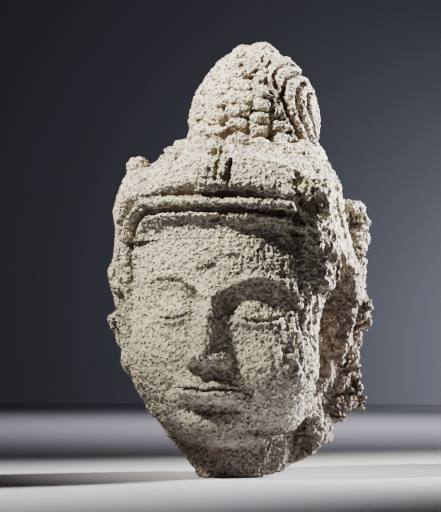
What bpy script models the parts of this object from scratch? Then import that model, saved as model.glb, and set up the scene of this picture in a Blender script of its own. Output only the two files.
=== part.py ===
"""Head of a bodhisattva, carved in grey-brown volcanic stone and broken off at the neck.

One stone: face, hair, diadem band and tall knot are carved from a single block, so there is a single solid.
The origin is the middle of the flat place that the head stands on. The left side of the diadem, the ears and
the neck are broken, and are modelled broken.

The form is written as one distance field (spheres, arches, curls and cuts that blend into each other), from the
sizes below. Its zero level becomes the mesh, which is then reduced to a few thousand facets.
"""

import bpy
import numpy as np

GRID = 2.2               # mm between the points where the form is worked out
FACETS = 9600            # triangles that are kept

# ---------------------------------------------------------------- sizes, in millimetres
# The head stands upright on the broken end of its neck: front towards -y, its own left towards +x, up +z.
TILT_DEG, TILT_Z = 2.0, 163.0              # it leans a little to its own left
SKULL_HALF = (94.0, 97.0)                  # half width and half depth over the hair
SKULL_Y, SKULL_Z = 6.0, 175.0              # centre of the widest level
SKULL_UP, SKULL_DOWN = 85.0, 125.0
FILLET_TOP, FILLET_FOOT, FILLET_DEG = 201.5, 130.0, 60.0   # the thin fillet that frames the face
ARCH = 4.4                                 # squareness of that arch
BAND_LOW, BAND_DROP, BAND_TOP = 210.5, 10.5, 236.0         # the broad plain band above it
BAND_OUT = 6.7
JEWEL_HALF = 11.0                          # half width of the upright jewel at the band's middle
KNOT_Y, KNOT_FOOT = 20.0, 243.0            # axis and foot of the tall knot of hair
KNOT_CURL = 10.4                           # height of one curl in its plaits
LOCK_PITCH = 11.3                          # from groove to groove in its side locks
NECK_HALF = (50.0, 54.0)
FLANK = (0.906, -0.423, 44.5)              # the split left side of the neck: a plane's direction and distance
FOOT_LEFT, FOOT_RIGHT = 31.5, 4.5         # the flat part of the break, to either side of the axis


# ---------------------------------------------------------------- curves and noise
def table(v, pairs, n=600):
    """A smooth curve through (input, value) pairs, flat beyond its ends."""
    xs = np.array([p[0] for p in pairs], float)
    ys = np.array([p[1] for p in pairs], float)
    h = np.diff(xs)
    s = np.diff(ys) / h
    m = np.zeros(len(xs))
    both = s[:-1] + s[1:]
    m[1:-1] = np.where(s[:-1] * s[1:] > 0, 2 * s[:-1] * s[1:] / np.where(both == 0, 1, both), 0)
    m[0], m[-1] = s[0], s[-1]
    g = np.linspace(xs[0], xs[-1], n)
    i = np.clip(np.searchsorted(xs, g) - 1, 0, len(h) - 1)
    t = (g - xs[i]) / h[i]
    y = ((2 * t ** 3 - 3 * t ** 2 + 1) * ys[i] + (t ** 3 - 2 * t ** 2 + t) * h[i] * m[i]
         + (-2 * t ** 3 + 3 * t ** 2) * ys[i + 1] + (t ** 3 - t ** 2) * h[i] * m[i + 1])
    return np.interp(v, g, y).astype(np.float32)


def smooth(e0, e1, x):
    t = np.clip((x - e0) / (e1 - e0), 0, 1)
    return t * t * (3 - 2 * t)


def lattice(ix, iy, iz, seed):
    h = (ix.astype(np.uint32) * np.uint32(374761393) + iy.astype(np.uint32) * np.uint32(668265263)
         + iz.astype(np.uint32) * np.uint32(2128337174) + np.uint32(seed * 974711 & 0xFFFFFFFF))
    h ^= h >> np.uint32(13)
    h *= np.uint32(1274126177)
    h ^= h >> np.uint32(16)
    h *= np.uint32(2246822519)
    h ^= h >> np.uint32(15)
    return h


def unit(h):
    return (h & np.uint32(0xFFFFFF)).astype(np.float32) / np.float32(0xFFFFFF)


def noise(x, y, z, wave, seed=0):
    """Smooth noise from -1 to 1, with bumps about as wide as wave."""
    f = np.float32(1.0 / wave)
    X = x * f + np.float32(seed * 17.31 + 0.37)
    Y = y * f - np.float32(seed * 9.13 - 0.71)
    Z = z * f + np.float32(seed * 5.77 + 0.19)
    ix, iy, iz = np.floor(X), np.floor(Y), np.floor(Z)
    fx, fy, fz = X - ix, Y - iy, Z - iz
    ix, iy, iz = ix.astype(np.int32), iy.astype(np.int32), iz.astype(np.int32)
    ux = fx * fx * fx * (fx * (fx * 6 - 15) + 10)
    uy = fy * fy * fy * (fy * (fy * 6 - 15) + 10)
    uz = fz * fz * fz * (fz * (fz * 6 - 15) + 10)
    out = np.zeros(x.shape, np.float32)
    for dx in (0, 1):
        wx = ux if dx else 1 - ux
        for dy in (0, 1):
            wxy = wx * (uy if dy else 1 - uy)
            for dz in (0, 1):
                w = wxy * (uz if dz else 1 - uz)
                out += w * unit(lattice(ix + dx, iy + dy, iz + dz, seed))
    return out * 2 - 1


def lumps(x, y, z, wave, seed=0):
    """Rounded lumps with creases between them: 1 on a lump's top, down to 0 in the creases."""
    f = np.float32(1.0 / wave)
    X, Y, Z = x * f, y * f, z * f
    ix, iy, iz = (np.floor(v).astype(np.int32) for v in (X, Y, Z))
    first, second = np.full(x.shape, 9, np.float32), np.full(x.shape, 9, np.float32)
    for dx in (-1, 0, 1):
        for dy in (-1, 0, 1):
            for dz in (-1, 0, 1):
                cx, cy, cz = ix + dx, iy + dy, iz + dz
                d = ((cx + 0.15 + 0.7 * unit(lattice(cx, cy, cz, seed)) - X) ** 2 + (cy + 0.15 + 0.7 * unit(lattice(cx, cy, cz, seed + 1)) - Y) ** 2
                     + (cz + 0.15 + 0.7 * unit(lattice(cx, cy, cz, seed + 2)) - Z) ** 2).astype(np.float32)
                second = np.minimum(second, np.maximum(first, d))
                first = np.minimum(first, d)
    edge = np.sqrt(second) - np.sqrt(first)
    return 1 - (1 - np.clip(edge / 0.42, 0, 1)) ** 2


# ---------------------------------------------------------------- shapes, as distances: negative inside
def smin(a, b, k):
    h = np.clip(0.5 + 0.5 * (b - a) / k, 0, 1)
    return b + (a - b) * h - k * h * (1 - h)


def smax(a, b, k):
    return -smin(-a, -b, k)


def turned(X, Y, Z, rot):
    """Coordinates in a frame turned by rot degrees about x, y and z."""
    a, b, c = (np.radians(v) for v in rot)
    if c:
        X, Y = np.cos(c) * X + np.sin(c) * Y, -np.sin(c) * X + np.cos(c) * Y
    if b:
        X, Z = np.cos(b) * X - np.sin(b) * Z, np.sin(b) * X + np.cos(b) * Z
    if a:
        Y, Z = np.cos(a) * Y + np.sin(a) * Z, -np.sin(a) * Y + np.cos(a) * Z
    return X, Y, Z


def ellipsoid(x, y, z, c, r, rot=None):
    X, Y, Z = x - c[0], y - c[1], z - c[2]
    if rot is not None:
        X, Y, Z = turned(X, Y, Z, rot)
    ax, ay, az = X / r[0], Y / r[1], Z / r[2]
    k0 = np.sqrt(ax * ax + ay * ay + az * az)
    bx, by, bz = ax / r[0], ay / r[1], az / r[2]
    return k0 * (k0 - 1) / np.maximum(np.sqrt(bx * bx + by * by + bz * bz), 1e-6)


def capsule(x, y, z, a, b, ra, rb=None):
    rb = ra if rb is None else rb
    a, b = np.array(a, float), np.array(b, float)
    ab = b - a
    t = np.clip(((x - a[0]) * ab[0] + (y - a[1]) * ab[1] + (z - a[2]) * ab[2]) / (ab @ ab), 0, 1)
    return np.sqrt((x - a[0] - t * ab[0]) ** 2 + (y - a[1] - t * ab[1]) ** 2 + (z - a[2] - t * ab[2]) ** 2) - (ra + (rb - ra) * t)


def slab(x, y, z, c, half, rot, edge):
    X, Y, Z = turned(x - c[0], y - c[1], z - c[2], rot)
    X, Y, Z = np.abs(X) - (half[0] - edge), np.abs(Y) - (half[1] - edge), np.abs(Z) - (half[2] - edge)
    out = np.sqrt(np.maximum(X, 0) ** 2 + np.maximum(Y, 0) ** 2 + np.maximum(Z, 0) ** 2)
    return out + np.minimum(np.maximum(np.maximum(X, Y), Z), 0) - edge


def along(p, q, path):
    """Distance in a plane from a line through the points of a path."""
    d = np.full(p.shape, 99.0)
    for (a, b), (c, e) in zip(path[:-1], path[1:]):
        t = np.clip(((p - a) * (c - a) + (q - b) * (e - b)) / ((c - a) ** 2 + (e - b) ** 2), 0, 1)
        d = np.minimum(d, np.hypot(p - a - t * (c - a), q - b - t * (e - b)))
    return d


def torus(x, y, z, c, major, minor, rot):
    X, Y, Z = turned(x - c[0], y - c[1], z - c[2], rot)
    q = np.sqrt(X * X + Z * Z) - major
    return np.sqrt(q * q + Y * Y) - minor


# ---------------------------------------------------------------- the head
def polar(x, y):
    """Angle round the skull in degrees, 0 in front, + towards the head's left."""
    return np.degrees(np.arctan2(x / SKULL_HALF[0], -(y - SKULL_Y) / SKULL_HALF[1]))


def skull(x, y, z):
    rho = np.sqrt((x / SKULL_HALF[0]) ** 2 + ((y - SKULL_Y) / SKULL_HALF[1]) ** 2)
    up = np.maximum(z - SKULL_Z, 0) / SKULL_UP
    down = np.maximum(SKULL_Z - z, 0) / SKULL_DOWN
    q = np.where(z > SKULL_Z, (rho ** 2.8 + up ** 2.8) ** (1 / 2.8), np.sqrt(rho ** 2 + down ** 2)) - 1
    return q * 88


def fillet(th, z):
    """Distance outside the fillet's crest, measured along the surface. The fillet is a round-shouldered arch."""
    H, S = FILLET_TOP - FILLET_FOOT, FILLET_DEG * 0.01745 * 95
    up = np.maximum(z - FILLET_FOOT, 0) / H
    side = np.abs(th) / FILLET_DEG
    q = np.maximum((side ** ARCH + up ** ARCH) ** (1 / ARCH), 0.02)
    g = np.sqrt(((up / q) ** (ARCH - 1) / H) ** 2 + ((side / q) ** (ARCH - 1) / S) ** 2)
    return (q - 1) / np.maximum(g, 0.004)


def face_relief(x, z):
    """How far the features stand forward of the plain face: calm, with lowered lids."""
    ax = np.abs(x)
    h = np.zeros_like(x)
    # sockets
    h -= 4.2 * np.exp(-(((ax - 31) / 21) ** 2 + ((z - 129) / 11) ** 2) ** 1.2)
    h -= 4.0 * np.exp(-(((ax - 14) / 6.5) ** 2 + ((z - 128) / 9) ** 2))
    # eyes: a full upper lid down to its edge, a narrow opening under it and a thin lower lid
    u, v = ax - 32, z - 122
    wide = np.maximum(0, 1 - (u / 20.0) ** 2)
    edge = -5.2 + 0.017 * u * u - 0.05 * u
    fold = 9.6 - 0.030 * u * u - 0.03 * u
    t = np.clip((v - edge) / np.maximum(fold - edge, 1), 0, 1)
    lid = 4.6 * wide ** 1.1 * (0.80 + 0.62 * t - 1.05 * t * t)
    under = 4.6 * wide ** 1.1 * 0.62 * np.exp(-(np.maximum(edge - v, 0) / 5.6) ** 2)
    above = 4.6 * wide ** 1.1 * 0.30 * np.exp(-(np.maximum(v - fold, 0) / 3.0) ** 2)
    h += np.where(v > fold, above, np.where(v > edge, lid, under))
    h -= 1.4 * np.exp(-((v - edge + 1.3) / 1.0) ** 2) * smooth(0.0, 0.3, wide)
    h += 1.2 * np.exp(-((v - edge + 4.0) / 1.5) ** 2) * smooth(0.0, 0.4, wide)
    h -= 1.1 * np.exp(-((v - fold) / 1.1) ** 2) * smooth(0.0, 0.3, wide)
    # brows
    zb = table(ax, [(0, 133), (8, 135.5), (16, 141), (28, 146.5), (38, 147.5), (50, 143.5), (60, 136)])
    hb = table(ax, [(0, 0.4), (8, 2.4), (30, 3.0), (50, 2.2), (61, 0)])
    dz = z - zb
    h += hb * np.where(dz > 0, np.exp(-(dz / 3.2) ** 2), np.exp(-(dz / 2.0) ** 2))
    # nose, wings and nostrils
    hn = table(z, [(75.5, 0), (79, 2.2), (82, 8), (85.5, 15.8), (90, 20), (95.5, 19.8), (104, 16.5), (114, 12.5), (126, 9), (134, 6.4), (141, 3), (150, 0)])
    wn = table(z, [(78, 11), (84, 15), (91, 15), (99, 13.0), (111, 11.2), (125, 10.4), (134, 11), (148, 13)])
    h += hn * (1 - smooth(0.02, 1.22, ax / wn)) ** 0.9
    h += 8.0 * np.maximum(0, 1 - ((ax - 11.8) / 7.4) ** 2 - ((z - 86.6) / 7.2) ** 2) ** 0.75 * smooth(2, 8, ax)
    h -= 1.2 * np.exp(-(((ax - 18.6) / 1.7) ** 2 + ((z - 88) / 7) ** 2))
    # upper lip furrow, mouth, hollow over the chin
    h -= 1.0 * np.exp(-(x / 3.0) ** 2) * smooth(70, 73, z) * smooth(81, 78, z)
    h += 0.6 * np.exp(-((ax - 5.2) / 2.0) ** 2) * smooth(70, 73, z) * smooth(81, 78, z)
    zp = 64.8 + 0.0016 * x * x - 1.1 * np.exp(-(x / 5.0) ** 2)
    hu = table(ax, [(0, 6.6), (3, 7.4), (6.5, 8.4), (12, 7.6), (18, 5.4), (24, 2.4), (29, 0.2)])
    hl = table(ax, [(0, 10.0), (8, 9.8), (14, 8.4), (21, 5.0), (25, 2.0), (29, 0.2)])
    bu = table(ax, [(0, 8.2), (6, 8.4), (15, 7.4), (23, 4.2), (29, 0)])
    bl = table(ax, [(0, 10.2), (7, 10.2), (15, 8.6), (23, 4.4), (29, 0)])
    tu = np.clip((z - zp) / np.maximum(hu, 1.5), 0, 1)
    tl = np.clip((zp - z) / np.maximum(hl, 1.5), 0, 1)
    h += np.where(z > zp, bu * (1 - tu ** 1.5) ** 0.6 * (0.72 + 0.42 * tu), bl * (1 - tl ** 2.2) ** 0.55)
    h -= 3.6 * np.exp(-((z - zp) / 1.5) ** 2) * smooth(29, 22, ax)
    h -= 2.8 * np.exp(-(((ax - 29) / 4.0) ** 2 + ((z - 65.0) / 4.6) ** 2))
    h -= 7.4 * np.exp(-((z - 51.0) / 5.2) ** 2) * np.exp(-(np.abs(x) / 23) ** 3)
    h -= 2.6 * np.exp(-(((ax - 6.8) / 2.8) ** 2 + ((z - 81.5) / 2.0) ** 2))
    fold = np.abs((ax - 20) * 0.88 - (84 - z) * 0.47)
    h -= 0.7 * np.exp(-(fold / 3.2) ** 2) * smooth(60, 68, z) * smooth(88, 82, z) * smooth(14, 20, ax)
    return h.astype(np.float32)


def face(x, y, z):
    ax = np.abs(x)
    Y = y + face_relief(x, z) * smooth(-20, -52, y)
    d = ellipsoid(x, Y, z, (0, 0, 150), (82, 89, 86))
    d = smin(d, ellipsoid(x, Y, z, (0, -16, 103), (77, 72, 84)), 16)
    d = smin(d, ellipsoid(x, Y, z, (0, -44, 60), (54, 44, 36)), 16)
    d = smin(d, ellipsoid(ax, Y, z, (37, -50, 86), (32, 34, 34)), 14)
    d = smin(d, ellipsoid(x, Y, z, (0, -64, 68), (32, 28, 25)), 12)
    return smin(d, ellipsoid(x, Y, z, (0, -71, 40), (20, 18.5, 14)), 14)


def hair(x, y, z, th, e):
    """The skull with its hair edge, fillet, side locks, sloping band and combed crown."""
    ath = np.abs(th)
    h = table(e, [(-34, -12), (-18, -7), (-13.5, -4.2), (-12, -3.2), (-9.5, -2.0), (-8.2, -2.0), (-6.6, -4.0), (-5, -3.8), (-3.6, -0.2),
                  (-1.6, 2.8), (0.6, 3.6), (2.6, 2.8), (4.2, 0.1), (5.6, -1.4), (7.0, -1.0), (9.0, -0.4), (11.5, 0)])
    h += 1.1 * np.exp(-((e + 10.0) / 2.2) ** 2) * smooth(46, 30, ath)
    h -= smooth(-38, -52, th) * (4.6 * np.exp(-((e + 6.4) / 2.9) ** 2) + 7.0 * np.exp(-((e - 7.2) / 3.2) ** 2))
    worn = smooth(31, 44, th) * smooth(-16, -9, e)                            # the fillet is worn away on the head's left
    h = h * (1 - 0.85 * worn) - 1.2 * worn
    h += 4.0 * smooth(8.5, 11.5, e) * smooth(58, 64, ath) * smooth(118, 104, ath) * smooth(120, 150, z)
    h += (0.9 + 2.6 * smooth(182, 198, z)) * smooth(9.5, 12.5, e) * smooth(-30, -55, th) * smooth(-118, -100, th) * smooth(130, 150, z)
    low = BAND_LOW - BAND_DROP * smooth(10, 50, ath)
    top = table(th, [(-60, -8.5), (-44, -8), (-30, -5), (-12, -1), (0, 0), (19, 0), (28, -1.5), (34, -4), (41, -9.5), (48, -13), (62, -13), (80, -8.5)]) + BAND_TOP
    band = smooth(-4.5, 6.5, z - low) ** 0.8 * smooth(1.6, -1.6, z - top)
    amount = (BAND_OUT - 1.5 * (z - low) / 25) * (0.45 + 0.55 * smooth(120, 108, ath))
    h = h * (1 - band) + band * amount
    above = smooth(-1.6, 1.6, z - top)
    comb = np.sin(np.radians(th) * 40 + 1.2 * np.sin(np.radians(th) * 7))
    h = h * (1 - above) + above * (0.9 * comb - 8.0 * smooth(0, 5, z - top))
    behind = smooth(100, 116, ath) * smooth(1, -3, z - low)
    strand = np.abs(((th / 6.4) % 1) - 0.5) * 2
    h = h * (1 - behind) + behind * (0.5 - 1.6 * smooth(0.72, 1.0, strand))
    return skull(x, y, z) - h


def jewel_relief(x, y, z):
    """The small upright jewel: sunk sides, square block, bar, moulding and scalloped foot."""
    box = smooth(0.9, -0.9, np.abs(x + 0.6) - JEWEL_HALF)
    h = 1.2 * box * smooth(207.5, 210, z) * smooth(243, 240, z)
    h -= 3.4 * np.exp(-((np.abs(x + 0.7) - JEWEL_HALF) / 0.95) ** 2) * smooth(211, 214, z) * smooth(247, 240, z)
    h -= 3.4 * np.exp(-((x - 2.0) / 1.2) ** 2) * smooth(215, 218, z) * smooth(244, 240, z)
    h += 1.9 * smooth(0.8, -0.8, np.abs(x + 4.6) - 4.6) * smooth(0.8, -0.8, np.abs(z - 225.5) - 6.5)
    h -= 2.6 * np.exp(-(((x + 2.6) / 1.8) ** 2 + ((z - 223.0) / 2.2) ** 2))
    h += 2.0 * smooth(0.9, -0.9, np.abs(x - 6.2) - 2.5) * smooth(215, 217, z) * smooth(243, 240, z)
    h -= 3.6 * np.exp(-(((x + 2.5) / 4.0) ** 2 + ((z - 238.0) / 3.0) ** 2))
    scallop = 205.4 + 2.8 * np.abs(np.sin(x * np.pi / JEWEL_HALF + 0.5))
    h += 1.8 * box * smooth(-1.0, 1.4, z - scallop) * smooth(217.5, 215, z)
    return h * smooth(-50, -60, y)


def chance(n, m, seed):
    """A fixed random number from 0 to 1 for each pair of whole numbers."""
    n, m = np.broadcast_arrays(np.asarray(n), np.asarray(m))
    return unit(lattice(n.astype(np.int32), m.astype(np.int32), np.zeros(n.shape, np.int32), seed))


LEAF_LEVELS, LEAF_RADII = (236, 258, 276, 287, 296, 303, 309, 316, 322), (51, 49.4, 48.6, 46.2, 42.5, 38.5, 34.5, 28.5, 21.5)
LOCKS = (([(68, 249), (55.5, 260), (46, 272), (41.5, 286), (43.5, 296), (50, 302.5), (62, 306), (84, 308), (105, 308)], 6.6, 1.75),
         ([(80, 251), (68.5, 261), (60.5, 271), (56, 282), (58, 291), (66, 297.5), (80, 300)], 6.6, 1.7),
         ([(93, 253), (82.5, 262.5), (75.5, 272), (71, 282), (75, 290), (88, 294)], 6.6, 1.6),
         ([(100, 258), (93, 268), (90, 279), (94, 287)], 5.0, 1.4),
         ([(47, 280), (38.5, 287), (34.5, 295), (34, 303), (40, 309), (52, 312.5), (80, 314)], 4.2, 1.3),
         ([(37, 282), (29, 290), (25, 299), (25, 307), (32, 314)], 4.0, 1.3))


def knot(x, y, z):
    """The tall knot: plaits of round curls in front, nested hanging locks on each side, plain strands behind."""
    X, Y = x - (z - 250) * 0.02, y - KNOT_Y
    rho = np.sqrt(X * X + Y * Y)
    R = table(z, [(236, 51), (258, 49.4), (276, 48.6), (287, 46.2), (296, 42.5), (303, 38.5), (309, 34.5), (316, 28.5), (322, 21.5), (327, 14), (330.5, 5), (332, 0)])
    th = np.degrees(np.arctan2(X, -Y))
    r = np.maximum(R, 12)
    h = np.zeros_like(x)
    leaf = np.zeros_like(x)
    for side, fold, strength in ((1, 105, 1.0), (-1, 128, 0.8)):
        t = fold - np.abs(side * th + 360 * (side * th < -120) - fold) if side > 0 else fold - np.abs(-th - fold)
        t = t - (fold - 105)
        near = (t > 25) & (z > KNOT_FOOT - 4) & (z < 322) & (np.abs(rho - R) < 22)
        if not near.any():
            continue
        w = 0.01745 * r[near]
        p, q = t[near] * w, z[near]
        fit = 0.01745 * np.interp(q, LEAF_LEVELS, LEAF_RADII) / w     # the lines are drawn on the knot's own width
        cut = np.zeros(p.shape)
        for line, depth, width in LOCKS:
            cut += depth * np.exp(-(along(p * fit, q, [(a * 0.01745 * np.interp(b, LEAF_LEVELS, LEAF_RADII), b) for a, b in line]) / width) ** 2)
        edge = table(q, [(246, 63), (253, 58), (262, 48), (273, 38), (284, 29), (294, 23), (306, 21), (320, 24)])
        inside = smooth(edge - 1.5, edge + 2.5, t[near])
        h[near] += strength * (inside * (1.6 - np.minimum(cut, 7.0)) - (1 - inside) * np.minimum(cut, 3.0))
        leaf[near] = np.maximum(leaf[near], inside * (1 if side > 0 else 0.8))
    tw, zw = th + 2.8 * noise(x, y, z, 15, 31), z + 2.0 * noise(x, y, z, 13, 32)
    plaits = np.zeros_like(x)
    columns = np.zeros_like(x)
    for n, (a, b) in enumerate([(-84, -60), (-60, -36), (-36, -12.6), (-12.6, 11.3), (11.3, 30), (30, 50)]):
        mid, half = (a + b) / 2, (b - a) / 2
        du = (tw - mid) / half
        step = 0.5 * (n % 2) + 0.12 * np.sin(n * 2.4)
        row = np.floor((zw - KNOT_FOOT) / KNOT_CURL + step)
        dv = ((zw - KNOT_FOOT) / KNOT_CURL + step - row - 0.5) * 2
        big = chance(row + 40, row * 0 + n, 41)
        k = np.maximum(0, 1 - np.abs(du) ** 2.8 - np.abs(dv) ** 2.4)
        w = half * 0.01745 * r
        a1, b1 = du * w, dv * KNOT_CURL / 2
        curl = np.sqrt(a1 * a1 + b1 * b1)
        swirl = np.exp(-((curl - 3.6) / 1.2) ** 2) * (0.5 + 0.5 * np.cos(np.arctan2(b1, a1) + n * 2.1 + row * 1.7))
        # between the curls there are drilled pits, here and there
        corner = np.sqrt(((np.abs(a1) - w + 1.5) / 1.3) ** 2 + (np.abs(b1) - KNOT_CURL / 2) ** 2)
        drilled = (chance(np.floor(row + 40 + (dv > 0)), row * 0 + n + (du > 0), 42) > 0.6) * np.exp(-(corner / 2.6) ** 2)
        here = np.abs(du) < 1
        plaits = np.where(here, (2.2 + 2.4 * big) * k ** 0.6 - 1.2 - 0.9 * swirl * k - 4.4 * drilled, plaits)
        columns = np.where(here, 1, columns)
    eroded = 1 - 0.35 * smooth(-10, -45, th)
    h = h + columns * (1 - leaf) * plaits * smooth(328, 318, z) * eroded * (1 - 0.8 * smooth(26, 34, th) * smooth(284, 292, z))
    behind = smooth(118, 126, th - 40 * (th < 0) * 1.0) * smooth(250, 256, z) + smooth(-158, -164, th) * smooth(250, 256, z)
    strand = np.abs(((th / 14.0) % 1) - 0.5) * 2
    h += behind * (0.6 - 2.2 * smooth(0.66, 1.0, strand))
    d = (rho - R - h) * 0.82
    # the worn top: two low humps with a notch between them
    humps = smin(ellipsoid(X, Y, z, (3.6, -1, 319.5), (14.0, 15, 13.4)), ellipsoid(X, Y, z, (-10.0, -3, 318.5), (10.0, 12.5, 12.4)), 1.6)
    return smin(smax(d, z - 324, 5), humps, 4)


def ring_of_curls(x, y, z):
    """Curls laid about the foot of the knot, and two lower rows of them over the brow."""
    Y = y - KNOT_Y
    x, Y, z = x + 1.6 * noise(x, y, z, 12, 34), Y + 1.6 * noise(x, y, z, 12, 35), z + 1.4 * noise(x, y, z, 11, 36)
    th = np.degrees(np.arctan2(x, -Y))
    d = np.full_like(x, 60.0)
    for row, (radius, level, pitch, size, reach) in enumerate(((53.5, 245.5, 19.0, 8.2, 190), (63.5, 241.5, 15.0, 6.6, 66), (74.0, 237.0, 12.6, 5.8, 52))):
        k = np.round(th / pitch + 0.5 * (row % 2)) - 0.5 * (row % 2)
        c = np.radians(k * pitch)
        cr = radius + 1.5 * np.sin(k * 2.3 + row) - 5.5 * smooth(50, 75, k * pitch) * smooth(135, 110, k * pitch) - (4 if row == 1 else 0) * smooth(0, 20, k * pitch)
        cz = level + 1.1 * np.cos(k * 1.7 + row * 2)
        size = size * (0.86 + 0.28 * chance(np.round(2 * k) + 60, k * 0 + row, 43))
        dx, dy = x - cr * np.sin(c), Y + cr * np.cos(c)
        along = dx * np.cos(c) + dy * np.sin(c)
        out = dx * np.sin(c) - dy * np.cos(c)
        one = (np.sqrt((along / (1.12 * size)) ** 2 + (out / (1.15 * size)) ** 2 + ((z - cz) / size) ** 2) - 1) * size
        one = one + 1.2 * np.exp(-((np.sqrt(along ** 2 + (z - cz) ** 2) - 0.42 * size) / 1.2) ** 2)
        d = smin(d, np.where((np.abs(th) < reach) & ((row < 2) | (th < -5)), one, 40), 1.5)
    return d


def jewel(x, y, z):
    """The body of the jewel: a small upright slab that leans back and stands a little over the band."""
    return slab(x, y, z, (-0.6, -77.6, 227.5), (9.7, 6.8, 16.8), (-13, 0, 0), 1.8)


def right_ear(x, y, z):
    """The head's right ear: lump of the rim, pinched middle, open loop of the lobe and its worn foot."""
    d = ellipsoid(x, y, z, (-86, 4, 120), (9, 17, 40))
    d = smin(d, ellipsoid(x, y, z, (-95.5, -4, 150), (10, 11, 12)), 4)
    d = smin(d, ellipsoid(x, y, z, (-94, -12, 140), (6, 7, 6)), 3)
    d = smin(d, ellipsoid(x, y, z, (-98, -8, 157), (4.5, 6, 5)), 2)
    d = smin(d, capsule(x, y, z, (-93, -2, 140), (-88, -6, 122), 4.2), 3)
    d = smin(d, ellipsoid(x, y, z, (-88, 6, 106), (14.5, 10, 16)), 3)
    d = smax(d, -ellipsoid(x, y, z, (-90.5, -10, 107), (6.5, 9, 9.5), (0, -10, -22)), 1.5)
    path = [(-80.5, -16, 110), (-87, -13, 117.2), (-94.5, -11, 119.2), (-99.2, -9, 115.4), (-98.0, -8, 109), (-91.8, -9, 99.5), (-85.5, -11, 88)]
    for p, q in zip(path[:-1], path[1:]):
        d = smin(d, capsule(x, y, z, p, q, 3.3), 1.2)
    return smin(d, ellipsoid(x, y, z, (-84, -10, 84), (6, 8, 11)), 4)


def left_remains(x, y, z):
    """The head's left: what is left of the ear and of the hair behind it, broken all over."""
    d = ellipsoid(x, y, z, (60, 42, 120), (20, 34, 92))
    for c, r in (((77.5, 37, 190), (9.5, 13, 12)), ((75, 38, 178), (11, 16, 12)), ((72.5, 38, 160), (10, 18, 16)),
                 ((83, 30, 125), (9, 13, 11)), ((72.5, 34, 142), (11, 18, 14)), ((66, 36, 102), (10, 18, 14)),
                 ((70, 34, 78), (12, 17, 15)), ((70, 34, 58), (12.5, 18, 14)), ((54, 38, 50), (18, 26, 24))):
        d = smin(d, ellipsoid(x, y, z, c, r), 5)
    ear = ellipsoid(x, y, z, (72, 16, 128), (9, 13, 36))
    ear = smin(ear, ellipsoid(x, y, z, (77, 9, 152), (8, 10, 9)), 4)
    ear = smin(ear, ellipsoid(x, y, z, (75, 12, 100), (8, 10, 12)), 4)
    ear = smax(ear, -ellipsoid(x, y, z, (84, 2, 131), (7, 9, 14)), 3)
    d = smin(d, ear, 5)
    here = (d < 26) & (x > 30)
    if here.any():
        p, q, r = x[here], y[here], z[here]
        p1, r1 = p + 3.0 * noise(p, q, r, 13, 14), r + 3.0 * noise(p, q, r, 13, 15)
        rough = 7.5 * lumps(p1, q, r1, 15.5, 7) + 2.2 * lumps(p1, q, r1, 7.0, 17) - 6.8
        rough += 2.4 * noise(p, q, r, 17, 8) + 1.3 * noise(p, q, r, 5.5, 9)
        rough -= 7.0 * smooth(0.34, 0.66, noise(p, q, r * 0.8, 12, 10)) * smooth(198, 188, r)
        d = d.copy()
        d[here] = d[here] - rough * smooth(26, 4, d[here])
    return smin(d, slab(x, y, z, (73.5, 36, 200.5), (9.6, 13, 8.6), (0, 10, -14), 3.6) + 0.8 * noise(x, y, z, 7, 18), 2)


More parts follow.
